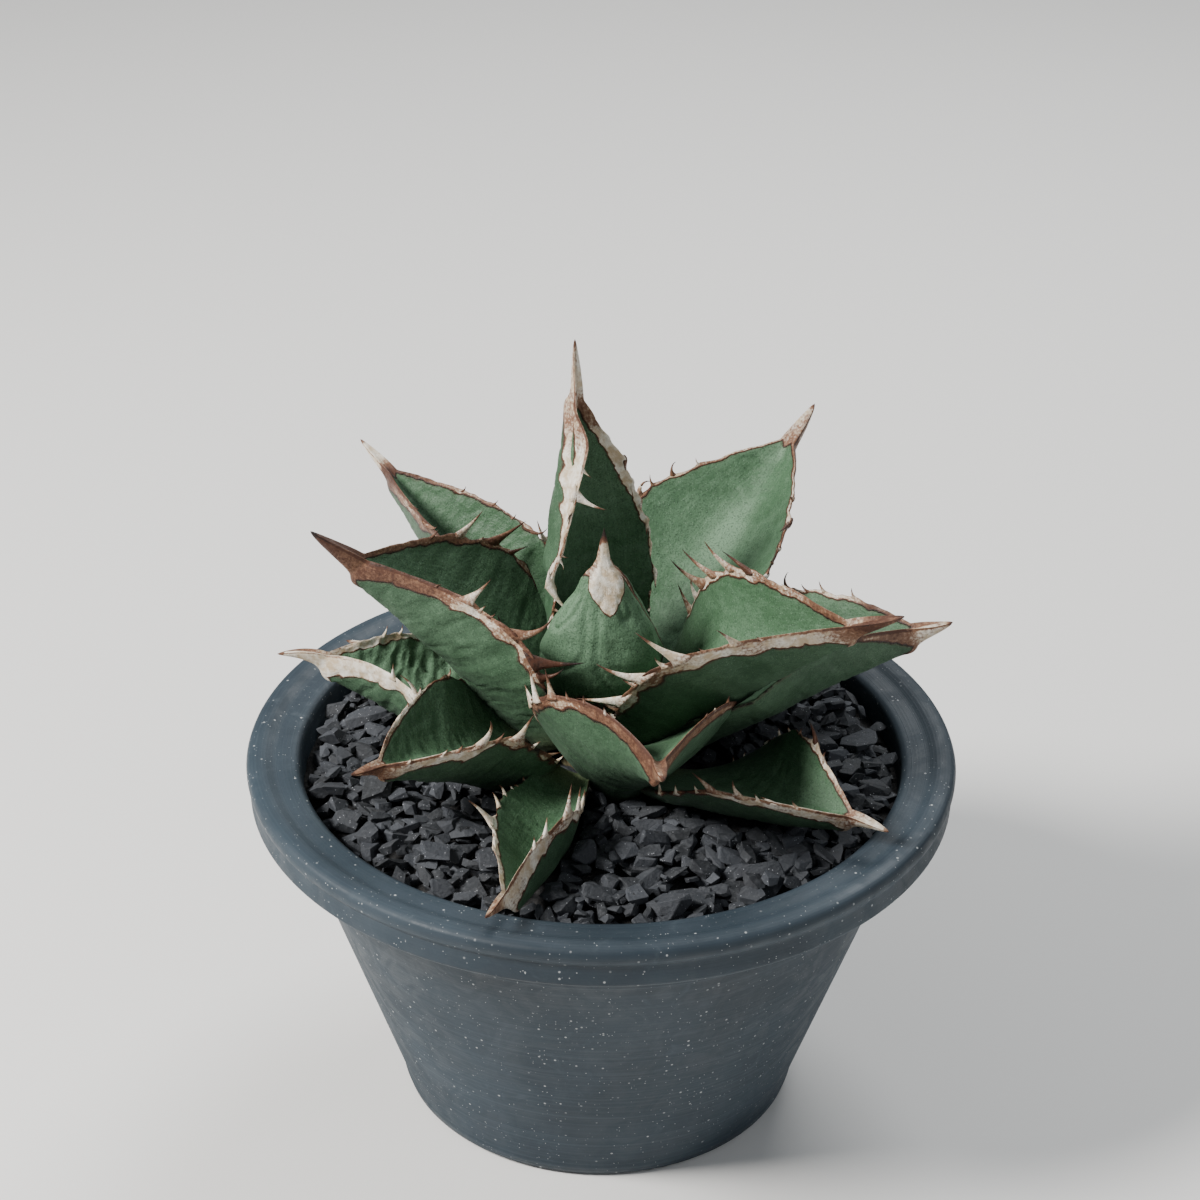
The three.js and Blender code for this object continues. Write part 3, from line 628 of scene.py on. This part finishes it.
# a hooked tooth: leans from the margin towards the base and curls back as it rises
def addTooth(bm, layers, leaf, line, tooth, seed, tone):
    shape = toothShape
    share, side, height = tooth[:3]
    wander = noise.noise(Vector((share * 31, side, seed)))
    lean, curl = tooth[3:5] if len(tooth) > 3 else (mix(52, 12, share), 40 + 80 * wander)
    row = min(len(line) - 2, int(share * leaf["blade"] / line[1]["along"]))
    station = line[row]
    foot = facePoint(leaf, station, side * 0.985, seed)
    ahead = (facePoint(leaf, line[row + 1], side * 0.985, seed) - foot).normalized()
    foot = foot - station["up"] * (leafShape["edgeThick"] * 0.5 * mm)
    rise = (station["up"] + station["side"] * side * leaf.get("out", 0.30)).normalized()
    back = (-station["heading"]).normalized()
    tilt = math.radians(lean - curl * 0.4)
    reach = (rise * math.cos(tilt) + back * math.sin(tilt)).normalized()
    size = freeLength(leaf, foot, reach, height * shape["gain"] * mm)
    if size < shape["least"] * mm:
        return
    height = size / (shape["gain"] * mm)
    broad = size * shape["broad"] + 0.25 * mm
    slim = (0.40 + 0.050 * height) * mm
    steps = shape["steps"]
    path = [foot - rise * size * 0.10]
    facing = []
    for step in range(steps + 1):
        angle = math.radians(lean - curl * step / steps)
        forward = (rise * math.cos(angle) + back * math.sin(angle)).normalized()
        facing.append(forward)
        path.append(path[-1] + forward * size * 1.1 / steps)

    def place(along, around):
        step = round(along * steps)
        forward = facing[step]
        thin = forward.cross(ahead if abs(forward.dot(ahead)) < 0.9 else rise).normalized()
        flat = mix(ahead, thin.cross(forward).normalized(), smooth(0.0, 0.35, along))
        taper = 1 - along
        wide = broad * (0.70 * taper ** 4.5 + 0.30 * taper ** 0.8)
        deep = slim * (0.30 * taper ** 2 + 0.70 * taper ** 0.7)
        turn = around * 2 * math.pi
        point = path[step] + flat * wide * math.cos(turn) + thin * deep * math.sin(turn)
        point += thin * size * 0.14 * wander * along ** 2
        dark = smooth(0.50, 1.0, along) * 0.8 - smooth(0.0, 0.3, along) * 0.15
        return point, {"along": share, "across": side, "inner": 1.0, "horn": 3.0,
                       "rust": tone + dark}

    addTube(bm, steps, shape["around"], place, layers)


def addLayers(bm):
    names = ("along", "across", "inner", "horn", "rust", "rib", "paintedLight")
    return {name: bm.verts.layers.float.new(name) for name in names}


def makeLeaf(leaf, index):
    shape = leafShape
    rng = random.Random(100 + index)
    seed = index * 7.3
    bm = bmesh.new()
    layers = addLayers(bm)
    line = leafLine(leaf, shape["rows"])
    edgeThick = shape["edgeThick"] * mm

    def place(along, around):
        station = line[round(along * shape["rows"])]
        turn = around * 2 * math.pi
        v = -math.cos(turn)
        inner = math.sin(turn) >= -1e-9
        base = facePoint(leaf, station, v, seed)
        half = halfAt(leaf, station, 1 if v > 0 else -1, seed)
        thick = mix(leaf["thick"], shape["tipThick"], station["onBlade"]) * mm
        body = thick * (1 - abs(v) ** 2.2)
        edge = edgeThick * min(1, abs(math.sin(turn)) / 0.30) ** 0.7
        if inner:
            drop = (edgeThick - edge) / 2 - skinRelief(leaf, station, v, True, seed)
        else:
            drop = body + (edgeThick + edge) / 2 + skinRelief(leaf, station, v, False, seed)
        bulge = half * math.sqrt(max(0, 1 - v * v))
        spineDrop = -0.45 * bulge if inner else 1.35 * bulge
        spread = smooth(-4.5, 3.0, station["along"] - leaf["blade"])
        drop = mix(drop * (1 - station["onSpine"]), spineDrop, spread)
        point = base - station["up"] * drop
        horn = hornDistance(leaf, station, v, inner, half)
        patch = noise.noise(Vector((station["along"] * 0.11, (v > 0) * 5.0, seed + 2)))
        tone = mix(leaf["rust"], leaf["spineRust"], smooth(0.05, 0.45, station["onSpine"]))
        tone += patch * 0.5
        tone += 0.35 * smooth(0.80, 1.0, station["onBlade"]) * (1 - station["onSpine"])
        tone += 0.75 * smooth(0.80, 1.0, station["onSpine"])
        # rib and paintedLight carry the painted midrib highlight and the painted paleness of the
        # inner face
        return point, {"along": station["onBlade"], "across": v, "inner": float(inner),
                       "horn": horn, "rust": tone, "rib": leaf.get("rib", 0.15),
                       "paintedLight": leaf.get("paintedLight", 0.0)}

    addTube(bm, shape["rows"], shape["around"], place, layers)
    for tooth in leaf["teeth"]:
        tone = tooth[5] if len(tooth) > 5 else leaf["rust"] + rng.uniform(-0.35, 0.05)
        addTooth(bm, layers, leaf, line, tooth, seed, tone)
    small = toothShape
    for side in (-1, 1):
        for count in range(small["small"]):
            share = mix(*small["reach"], (count + rng.uniform(0.1, 0.9)) / small["small"])
            near = [abs(share - tooth[0]) * leaf["blade"] for tooth in leaf["teeth"]
                    if tooth[1] == side]
            hidden = side == leaf.get("bare", 0)
            for slimSide, slimLow, slimHigh in leaf.get("slim", ()):
                hidden = hidden or side == slimSide and share < slimHigh
            if min(near, default=9) > small["gap"] and not hidden:
                tooth = (share, side, rng.uniform(*small["height"]),
                         rng.uniform(*small["lean"]), rng.uniform(*small["curl"]))
                addTooth(bm, layers, leaf, line, tooth, seed,
                         leaf["rust"] + rng.uniform(-0.5, 0.2))
    name = "agave" + leaf["node"].title().replace("_", "")
    return finishPiece(bm, name, leafMaterial, [leaf["node"]])


leafObjects = [makeLeaf(leaf, index + 1) for index, leaf in enumerate(leafPieces)]
print("leaves:", len(leafObjects))


# the bud: young leaves still rolled round each other; hornFront and hornSide: depth of the patch;
# paintedLight: painted light that makes its skin paler
budLow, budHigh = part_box("bud")
budShape = {
    "height": budHigh[2] - budLow[2], "wide": 12.6, "deep": 0.62, "leanFoot": 5.5,
    "leanTip": 11.0, "hornFront": 20.5, "hornSide": 12.0, "hornTurn": -80, "lap": 0.9,
    "seams": (172, 6), "rows": 150, "around": 112, "paintedLight": 0.45,
}
budProfile = ((0, 0.58), (0.12, 0.84), (0.25, 0.98), (0.36, 1), (0.48, 0.88), (0.59, 0.66),
              (0.68, 0.48), (0.735, 0.385), (0.77, 0.285), (0.80, 0.18), (0.84, 0.115),
              (0.92, 0.07), (1, 0.0))


def profileAt(points, share):
    for (low, first), (high, second) in zip(points, points[1:]):
        if share <= high:
            part = (share - low) / (high - low)
            return mix(first, second, mix(part, smooth(0, 1, part), 0.3))
    return points[-1][1]


def turnBetween(first, second):
    return abs((first - second + math.pi) % (2 * math.pi) - math.pi)


def makeBud():
    shape = budShape
    bm = bmesh.new()
    layers = addLayers(bm)
    height = shape["height"]
    seams = [math.radians(angle) for angle in shape["seams"]]

    def place(along, around):
        turn = around * 2 * math.pi
        size = profileAt(budProfile, along)
        lean = -mix(shape["leanFoot"], shape["leanTip"], along) * mm
        drift = along * 0.35
        inFront = ((turn - seams[0] + drift) % (2 * math.pi)) < math.pi * 1.08
        near = min(turnBetween(turn + drift, seam) for seam in seams)
        lap = shape["lap"] * mm * (1 if inFront else -0.3) * smooth(0.75, 0.5, along)
        lap *= smooth(0.0, 0.10, near) if not inFront else 1.0
        fold = noise.noise(Vector((math.cos(turn) * 1.3 + 2, math.sin(turn) * 1.3,
                                   along * 3.4)))
        crease = max(0.0, 1 - abs(fold) * 6) ** 2 * smooth(0.74, 0.55, along)
        wave = noise.noise(Vector((math.cos(turn) * 2.1, math.sin(turn) * 2.1, along * 5 + 8)))
        radius = shape["wide"] * mm * size + lap * size
        radius += (wave * 1.1 - crease * 0.9) * mm * smooth(0.0, 0.45, size)
        if along > 0.999:
            radius = 0
        x = radius * math.cos(turn)
        y = radius * math.sin(turn) * shape["deep"] + lean
        below = (1 - along) * height / mm
        apart = turnBetween(turn, math.radians(shape["hornTurn"]))
        patch = mix(shape["hornFront"], shape["hornSide"], min(1, apart / math.radians(62)))
        edge = near * max(radius, 0.001) / mm
        horn = max(patch - below, (0.7 - edge) * smooth(0.15, 0.5, along))
        tone = 0.10 + 1.6 * smooth(0.90, 0.97, along) + 0.40 * smooth(0.5, 1.2, apart)
        point = Vector((x, y, budLow[2] + height * along))
        # rib and paintedLight: painted highlight and painted paleness on the bud's skin
        return point, {"along": 0.35 + along * 0.5, "across": math.cos(turn), "inner": 1.0,
                       "horn": horn, "rust": tone, "rib": 0.3, "paintedLight": shape["paintedLight"]}

    addTube(bm, shape["rows"], shape["around"], place, layers)
    return finishPiece(bm, "agaveBud", leafMaterial, ["bud"])


budObject = makeBud()
print("bud ready")


def makeStemMaterial():
    material, tree, links, shader = newMaterial("agaveStem")
    place = objectCoords(tree)
    fibres = tree.nodes.new("ShaderNodeMapping")
    fibres.inputs["Scale"].default_value = (900, 900, 120)
    links.new(place, fibres.inputs["Vector"])
    strands = addNoise(tree, fibres.outputs[0], 1.0, 4.0, 0.6)
    patches = addNoise(tree, place, 160.0, 3.0, 0.6)
    colour = addMix(tree, addRange(tree, strands, 0.35, 0.7), (0.10, 0.075, 0.035),
                    (0.30, 0.27, 0.15))
    colour = addMix(tree, addRange(tree, patches, 0.5, 0.75), colour, (0.05, 0.035, 0.02))
    links.new(colour, shader.inputs["Base Color"])
    links.new(addRange(tree, strands, 0.3, 0.7, 0.7, 0.9), shader.inputs["Roughness"])
    links.new(addBump(tree, strands, 0.5 * mm), shader.inputs["Normal"])
    return material


stemShape = {
    "radius": 10.5, "above": 7, "stock": 26, "roots": 6, "reach": 30, "drop": 24, "root": 1.9,
    "profile": ((0, 0.0), (0.02, 0.35), (0.25, 0.72), (0.5, 0.9), (0.75, 1), (0.9, 0.95),
                (0.99, 0.55), (1, 0.0)),
}


def makeStem():
    shape = stemShape
    bm = bmesh.new()
    top = crownLevel + shape["above"] * mm
    bottom = crownLevel - shape["stock"] * mm

    def place(along, around):
        turn = around * 2 * math.pi
        z = mix(bottom, top, along)
        ring = noise.noise(Vector((math.cos(turn), math.sin(turn), z * 260)))
        radius = shape["radius"] * mm * profileAt(shape["profile"], along)
        radius *= 1 + 0.05 * ring
        return onCircle(radius, turn, z), {}

    addTube(bm, 60, 48, place)
    for index in range(shape["roots"]):
        turn = (index + 0.3) / shape["roots"] * 2 * math.pi
        out = Vector((math.cos(turn), math.sin(turn), 0))
        across = Vector((-out.y, out.x, 0))
        lift = Vector((out.x * 0.6, out.y * 0.6, 0.8))
        start = crownLevel - shape["stock"] * 0.7 * mm

        def placeRoot(along, around, out=out, across=across, lift=lift, start=start):
            centre = out * (2 + shape["reach"] * along) * mm
            centre.z = start - shape["drop"] * mm * along ** 1.6
            angle = around * 2 * math.pi
            radius = shape["root"] * mm * (1.15 - along * 0.85)
            radius *= 1 + 0.12 * noise.noise(centre * 700)
            if along > 0.999:
                radius = 0
            point = centre + across * radius * math.cos(angle) + lift * radius * math.sin(angle)
            return point, {}

        addTube(bm, 24, 10, placeRoot)
    return finishPiece(bm, "agaveStem", makeStemMaterial(), ["stem"])


stemObject = makeStem()
print("stem ready")


def makePotMaterial():
    material, tree, links, shader = newMaterial("potClay")
    place = objectCoords(tree)
    split = tree.nodes.new("ShaderNodeSeparateXYZ")
    links.new(place, split.inputs[0])
    flat = tree.nodes.new("ShaderNodeCombineXYZ")
    links.new(split.outputs[0], flat.inputs[0])
    links.new(split.outputs[1], flat.inputs[1])
    length = tree.nodes.new("ShaderNodeVectorMath")
    length.operation = "LENGTH"
    links.new(flat.outputs[0], length.inputs[0])
    radius = length.outputs["Value"]
    turned = tree.nodes.new("ShaderNodeCombineXYZ")
    links.new(multiply(tree, radius, 1800.0), turned.inputs[0])
    links.new(multiply(tree, split.outputs[2], 900.0), turned.inputs[1])
    rings = addNoise(tree, turned.outputs[0], 1.0, 3.0, 0.6)
    clouds = addNoise(tree, place, 28.0, 4.0, 0.6)
    smears = addNoise(tree, place, 110.0, 4.0, 0.65, 1.2)
    colour = addMix(tree, addRange(tree, clouds, 0.3, 0.7), (0.016, 0.026, 0.036),
                    (0.028, 0.043, 0.057))
    colour = addMix(tree, addRange(tree, rings, 0.45, 0.75, 0.0, 0.30), colour,
                    (0.062, 0.085, 0.105))
    colour = addMix(tree, addRange(tree, smears, 0.56, 0.78, 0.0, 0.22), colour,
                    (0.12, 0.145, 0.165))
    dots = addSpeckle(tree, place, 1.15, 0.055)[0]
    dust, fineGrit = addSpeckle(tree, place, 0.5, 0.07)
    worn = addRange(tree, smears, 0.40, 0.60, 0.25, 1.0)
    specks = multiply(tree, addMath(tree, "MAXIMUM", dots, dust), worn)
    colour = addMix(tree, multiply(tree, specks, 0.8), colour, (0.55, 0.57, 0.57))
    links.new(colour, shader.inputs["Base Color"])
    rough = add(tree, addRange(tree, smears, 0.3, 0.7, 0.48, 0.68),
                multiply(tree, specks, 0.3))
    links.new(rough, shader.inputs["Roughness"])
    height = add(tree, rings, multiply(tree, fineGrit, 0.35))
    links.new(addBump(tree, height, 0.12 * mm, 0.8), shader.inputs["Normal"])
    shader.inputs["Specular IOR Level"].default_value = 0.36
    return material


# a closed outline of radius and height, turned about the upright axis
def spinOutline(bm, outline, steps):
    verts = [bm.verts.new((radius, 0, height)) for radius, height in outline]
    edges = [bm.edges.new((a, b)) for a, b in zip(verts, verts[1:] + verts[:1])]
    bmesh.ops.spin(bm, geom=verts + edges, cent=(0, 0, 0), axis=(0, 0, 1), dvec=(0, 0, 0),
                   angle=2 * math.pi, steps=steps, use_merge=True, use_duplicate=False)


potShape = {
    "bead": 5.6, "beadRise": 0.9, "lip": 10, "wall": 3.2, "mouth": 6, "foot": 46,
    "footRing": 8, "recess": 1.6, "floor": 3.4, "drain": 7, "steps": 180, "edgeRound": 0.45,
}


def makePot():
    shape = potShape
    top = potHeight / mm
    rim = rimRadius / mm
    mouth = mouthRadius / mm
    band = bandLevel / mm
    foot = shape["foot"]
    inner = rim - shape["bead"]
    floor = shape["recess"] + shape["floor"]
    lipFoot = top - shape["lip"]
    outline = [
        (shape["drain"], shape["recess"]), (foot - shape["footRing"] - 1, shape["recess"]),
        (foot - shape["footRing"], 0), (foot - 1, 0), (foot, 1),
        (foot + 0.7, 3.2), (foot + 0.5, 4.0),
        (mouth + shape["wall"], lipFoot), (rim - 1.6, lipFoot), (rim - 0.6, lipFoot + 1),
        (rim - 0.75, lipFoot + 3.4), (rim - 0.95, lipFoot + 5.6), (rim - 0.25, lipFoot + 6.4),
        (rim - 0.02, lipFoot + 7.6), (rim, top - shape["beadRise"] - 0.9),
        (rim - 0.45, top - 0.62), (rim - 1.4, top - 0.15), (rim - 2.6, top),
        (rim - 3.7, top - 0.04),
        (inner + 1.2, top - 0.18), (inner + 0.3, top - 0.52), (inner - 0.4, top - 0.86),
        (inner - 1.4, band - 0.02), (inner - 3.2, band - 0.05), (mouth + 1.5, band - 0.22),
        (mouth + 0.7, band - 0.50), (mouth + 0.15, band - 1.1), (mouth, band - 2.0),
        (mouth, band - shape["mouth"]),
        (foot - shape["wall"], floor), (shape["drain"], floor),
    ]
    bm = bmesh.new()
    spinOutline(bm, [(radius * mm, height * mm) for radius, height in outline], shape["steps"])
    bmesh.ops.remove_doubles(bm, verts=bm.verts, dist=1e-7)
    bmesh.ops.recalc_face_normals(bm, faces=bm.faces)
    sharp = [edge for edge in bm.edges if edge.is_manifold
             and edge.calc_face_angle(0) > math.radians(40)]
    bmesh.ops.bevel(bm, geom=sharp, offset=shape["edgeRound"] * mm, offset_type="OFFSET",
                    affect="EDGES", segments=3, profile=0.5, material=-1, clamp_overlap=True)
    return finishPiece(bm, "roundPot", makePotMaterial(), ["pot"])


makePot()
print("pot ready")


def makeScreenMaterial():
    material, tree, links, shader = newMaterial("screenMesh")
    place = objectCoords(tree)
    marks = addNoise(tree, place, 500.0, 3.0, 0.6)
    links.new(addMix(tree, marks, (0.012, 0.012, 0.013), (0.045, 0.046, 0.048)),
              shader.inputs["Base Color"])
    links.new(addRange(tree, marks, 0.3, 0.7, 0.45, 0.7), shader.inputs["Roughness"])
    return material


screenShape = {"bars": 11, "bar": 0.7, "rimWidth": 1.4, "steps": 48}


def makeScreen():
    low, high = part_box("drain_screen")
    radius = high[0]
    deep = high[2] - low[2]
    bm = bmesh.new()
    shape = screenShape
    for turned in (False, True):
        for index in range(shape["bars"]):
            offset = mix(-1, 1, (index + 0.5) / shape["bars"]) * radius
            reach = math.sqrt(radius ** 2 - offset ** 2) - 0.3 * mm
            size = (reach * 2, shape["bar"] * mm, deep * 0.55)
            centre = (0, offset, low[2] + deep * (0.28 if turned else 0.72))
            spin = Matrix.Rotation(math.pi / 2 if turned else 0, 4, "Z")
            form = spin @ Matrix.Translation(centre) @ Matrix.Diagonal((*size, 1))
            bmesh.ops.create_cube(bm, size=1, matrix=form)
    inside = radius - shape["rimWidth"] * mm
    spinOutline(bm, [(inside, low[2]), (radius, low[2]), (radius, high[2]), (inside, high[2])],
                shape["steps"])
    bmesh.ops.recalc_face_normals(bm, faces=bm.faces)
    return finishPiece(bm, "drainScreen", makeScreenMaterial(), ["drain_screen"],
                       flat=True)


makeScreen()
print("drain screen ready")


def makeSoilMaterial():
    material, tree, links, shader = newMaterial("pottingMix")
    place = objectCoords(tree)
    crumbs = addNoise(tree, place, 420.0, 5.0, 0.7)
    lumps = addNoise(tree, place, 120.0, 4.0, 0.6)
    colour = addMix(tree, addRange(tree, crumbs, 0.35, 0.7), (0.008, 0.008, 0.009),
                    (0.034, 0.032, 0.031))
    mask = addSpeckle(tree, place, 1.1, 0.12)[0]
    colour = addMix(tree, multiply(tree, mask, 0.6), colour, (0.16, 0.15, 0.14))
    links.new(colour, shader.inputs["Base Color"])
    shader.inputs["Roughness"].default_value = 0.95
    height = add(tree, crumbs, lumps)
    links.new(addBump(tree, height, 1.2 * mm), shader.inputs["Normal"])
    return material


def makeStoneMaterial():
    material, tree, links, shader = newMaterial("crushedSlate")
    place = objectCoords(tree)
    island = tree.nodes.new("ShaderNodeNewGeometry").outputs["Random Per Island"]
    grain = addNoise(tree, place, 900.0, 5.0, 0.7)
    cloud = addNoise(tree, place, 170.0, 3.0, 0.6)
    colour = addMix(tree, island, (0.012, 0.014, 0.017), (0.046, 0.051, 0.061))
    colour = addMix(tree, addRange(tree, grain, 0.45, 0.75, 0.0, 0.55), colour,
                    (0.105, 0.110, 0.120))
    colour = addMix(tree, addRange(tree, cloud, 0.50, 0.75, 0.0, 0.5), colour,
                    (0.030, 0.031, 0.036))
    sparkle = addSpeckle(tree, place, 0.38, 0.06)[0]
    colour = addMix(tree, multiply(tree, sparkle, 0.9), colour, (0.62, 0.64, 0.68))
    links.new(colour, shader.inputs["Base Color"])
    rough = addMath(tree, "SUBTRACT", addRange(tree, grain, 0.3, 0.7, 0.62, 0.86),
                    multiply(tree, sparkle, 0.4))
    links.new(rough, shader.inputs["Roughness"])
    height = add(tree, grain, multiply(tree, cloud, 0.8))
    links.new(addBump(tree, height, 0.35 * mm), shader.inputs["Normal"])
    shader.inputs["Specular IOR Level"].default_value = 0.5
    return material


# height of the stones at a place: a low mound with a broken surface
def dressingHeight(x, y):
    radius = math.hypot(x, y)
    share = radius / mouthRadius
    turn = math.atan2(y, x)
    broken = math.sin(turn * 7 + radius / mm * 0.31) * math.cos(turn * 5 - radius / mm * 0.23)
    return dressingLevel + moundRise * max(0, 1 - share * share) + 0.5 * mm * broken


bedShape = {"under": 3.2, "rings": 40, "spokes": 120}


def makeSubstrate():
    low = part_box("substrate")[0]
    wallFoot = (potShape["foot"] - potShape["wall"]) * mm
    floor = (potShape["recess"] + potShape["floor"]) * mm
    straight = bandLevel - potShape["mouth"] * mm
    bm = bmesh.new()

    def wallAt(z):
        return mix(wallFoot, mouthRadius, min(1, (z - floor) / (straight - floor))) - clearance

    def place(along, around):
        turn = around * 2 * math.pi
        if along < 0.25:
            radius = wallAt(low[2]) * along / 0.25
            z = low[2] + (1.5 * mm + clearance if along < 0.06 else 0)
            return onCircle(radius, turn, z), {}
        if along < 0.5:
            z = mix(low[2], dressingLevel - bedShape["under"] * mm, (along - 0.25) / 0.25)
            radius = wallAt(z)
            return onCircle(radius, turn, z), {}
        share = (1 - along) / 0.5
        radius = wallAt(dressingLevel) * share
        x = radius * math.cos(turn)
        y = radius * math.sin(turn)
        rough = noise.fractal(Vector((x, y, 0)) * 420, 0.8, 2.0, 3) * 0.7 * mm
        z = dressingHeight(x, y) - bedShape["under"] * mm + rough
        return Vector((x, y, z)), {}

    addTube(bm, bedShape["rings"] * 2, bedShape["spokes"], place, closeBase=False)
    return finishPiece(bm, "pottingMix", makeSoilMaterial(), ["substrate"])


makeSubstrate()
print("substrate ready")


# layers from the bed up: stones, least and most length, depth in the bed, tilt and packing
chipShape = {
    "seed": 41, "kinds": 22, "sideCuts": 6, "faceCuts": 4, "bevel": 0.022, "flat": (0.22, 0.44),
    "spacing": 1.35, "tries": 14, "clear": 0.40,
    "layers": (
        {"count": 620, "short": 3.6, "long": 8.0, "sink": 1.8, "tilt": 18, "near": 0.38},
        {"count": 360, "short": 4.2, "long": 10.4, "sink": 0.2, "tilt": 30, "near": 0.50},
        {"count": 240, "short": 2.6, "long": 6.5, "sink": -0.7, "tilt": 38, "near": 0.60},
        {"count": 70, "short": 5.0, "long": 10.8, "sink": -1.3, "tilt": 26, "near": 0.95},
    ),
}


# one angular stone: a block broken by a handful of flat cuts, its edges just worn
def makeChipKind(rng):
    bm = bmesh.new()
    bmesh.ops.create_cube(bm, size=1)
    for count in range(chipShape["sideCuts"] + chipShape["faceCuts"]):
        steep = 0.25 if count < chipShape["sideCuts"] else 1.4
        normal = Vector((rng.gauss(0, 1), rng.gauss(0, 1), rng.gauss(0, steep))).normalized()
        reach = rng.uniform(0.26, 0.46) if steep < 1 else rng.uniform(0.34, 0.52)
        cut = bmesh.ops.bisect_plane(bm, geom=bm.verts[:] + bm.edges[:] + bm.faces[:],
                                     plane_co=normal * reach, plane_no=normal,
                                     clear_outer=True)
        rim = [item for item in cut["geom_cut"] if isinstance(item, bmesh.types.BMEdge)]
        if rim:
            bmesh.ops.edgeloop_fill(bm, edges=rim)
    bmesh.ops.remove_doubles(bm, verts=bm.verts, dist=0.02)
    bmesh.ops.bevel(bm, geom=bm.edges[:], offset=chipShape["bevel"], offset_type="OFFSET",
                    affect="EDGES", segments=1, profile=0.5, material=-1, clamp_overlap=True)
    bmesh.ops.recalc_face_normals(bm, faces=bm.faces)
    mesh = bpy.data.meshes.new("chipKind")
    bm.to_mesh(mesh)
    bm.free()
    return mesh


def clearOfPlant(trees, point, keep):
    for tree in trees:
        spot, normal, index, distance = tree.find_nearest(point, 0.02)
        if spot is None:
            continue
        if distance < keep or (point - spot).dot(normal) < 0:
            return False
    return True


def makeStones():
    rng = random.Random(chipShape["seed"])
    kinds = [makeChipKind(rng) for count in range(chipShape["kinds"])]
    trees = [treeOf(piece) for piece in [*leafObjects, budObject, stemObject]]
    bm = bmesh.new()
    total = 0
    for layer in chipShape["layers"]:
        placed = []
        tries = 0
        while len(placed) < layer["count"] and tries < layer["count"] * chipShape["tries"]:
            tries += 1
            long = mix(layer["short"], layer["long"], rng.random() ** 1.4) * mm
            limit = mouthRadius - long * 0.46 - 0.3 * mm
            radius = limit * math.sqrt(rng.random())
            turn = rng.uniform(0, 2 * math.pi)
            x = radius * math.cos(turn)
            y = radius * math.sin(turn)
            if any((x - px) ** 2 + (y - py) ** 2
                   < (layer["near"] * (long + size) / 2) ** 2 * chipShape["spacing"]
                   for px, py, size in placed):
                continue
            flat = rng.uniform(*chipShape["flat"])
            z = dressingHeight(x, y) - layer["sink"] * mm + rng.uniform(-0.5, 0.5) * mm
            point = Vector((x, y, z))
            if not clearOfPlant(trees, point, long * chipShape["clear"]):
                continue
            placed.append((x, y, long))
            scale = Matrix.Diagonal((long, long * rng.uniform(0.55, 0.85), long * flat, 1))
            tilt = math.radians(layer["tilt"])
            turned = (Matrix.Rotation(rng.uniform(0, 2 * math.pi), 4, "Z")
                      @ Matrix.Rotation(rng.gauss(0, tilt * 0.6), 4, "X")
                      @ Matrix.Rotation(rng.gauss(0, tilt * 0.6), 4, "Y"))
            mesh = kinds[rng.randrange(len(kinds))].copy()
            mesh.transform(Matrix.Translation(point) @ turned @ scale)
            bm.from_mesh(mesh)
            bpy.data.meshes.remove(mesh)
        total += len(placed)
    for kind in kinds:
        bpy.data.meshes.remove(kind)
    print("stones:", total)
    nodes = ["dressing"] + [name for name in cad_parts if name.startswith("chip_")]
    return finishPiece(bm, "stoneDressing", makeStoneMaterial(), nodes, flat=True)


makeStones()
print("stones ready")


stageLook = {
    "floor": (0.80, 0.79, 0.77), "floorRough": 0.75, "world": (0.86, 0.90, 0.95),
    "worldStrength": 0.24,
    "lights": (
        {"at": (-0.82, -0.30, 0.84), "size": 0.36, "power": 27, "tint": (1.0, 0.98, 0.95)},
        {"at": (0.75, -0.45, 0.55), "size": 0.80, "power": 1.6, "tint": (0.92, 0.96, 1.0)},
        {"at": (0.25, 0.60, 0.85), "size": 0.45, "power": 7, "tint": (0.97, 0.99, 1.0)},
    ),
}


def makeStage():
    bm = bmesh.new()
    bmesh.ops.create_grid(bm, x_segments=1, y_segments=1, size=4)
    mesh = bpy.data.meshes.new("floor")
    bm.to_mesh(mesh)
    bm.free()
    floor = bpy.data.objects.new("floor", mesh)
    bpy.context.scene.collection.objects.link(floor)
    material, tree, links, shader = newMaterial("paleFloor")
    shader.inputs["Base Color"].default_value = (*stageLook["floor"], 1)
    shader.inputs["Roughness"].default_value = stageLook["floorRough"]
    mesh.materials.append(material)
    world = bpy.data.worlds.new("studio")
    bpy.context.scene.world = world
    world.use_nodes = True
    back = world.node_tree.nodes["Background"]
    back.inputs[0].default_value = (*stageLook["world"], 1)
    back.inputs[1].default_value = stageLook["worldStrength"]
    aim = Vector((0, 0, potHeight))
    for index, light in enumerate(stageLook["lights"]):
        data = bpy.data.lights.new(f"softbox{index + 1}", "AREA")
        data.shape = "DISK"
        data.size = light["size"]
        data.energy = light["power"]
        data.color = light["tint"]
        lamp = bpy.data.objects.new(data.name, data)
        lamp.location = light["at"]
        lamp.rotation_euler = (aim - lamp.location).to_track_quat("-Z", "Y").to_euler()
        bpy.context.scene.collection.objects.link(lamp)


# at: measured from the pot's top level
cameraView = {"at": (-0.0007, -0.544, 0.3416), "pitch": 60.72, "roll": 0.68, "lens": 85,
              "sensor": 36}


def makeCamera():
    data = bpy.data.cameras.new("camera")
    data.lens = cameraView["lens"]
    data.sensor_width = cameraView["sensor"]
    data.clip_start = 0.01
    camera = bpy.data.objects.new("camera", data)
    camera.location = Vector(cameraView["at"]) + Vector((0, 0, potHeight))
    pitch = Matrix.Rotation(math.radians(cameraView["pitch"]), 4, "X")
    roll = Matrix.Rotation(math.radians(cameraView["roll"]), 4, "Z")
    camera.rotation_euler = (pitch @ roll).to_euler()
    bpy.context.scene.collection.objects.link(camera)
    bpy.context.scene.camera = camera


makeStage()
makeCamera()
print("stage and camera ready")
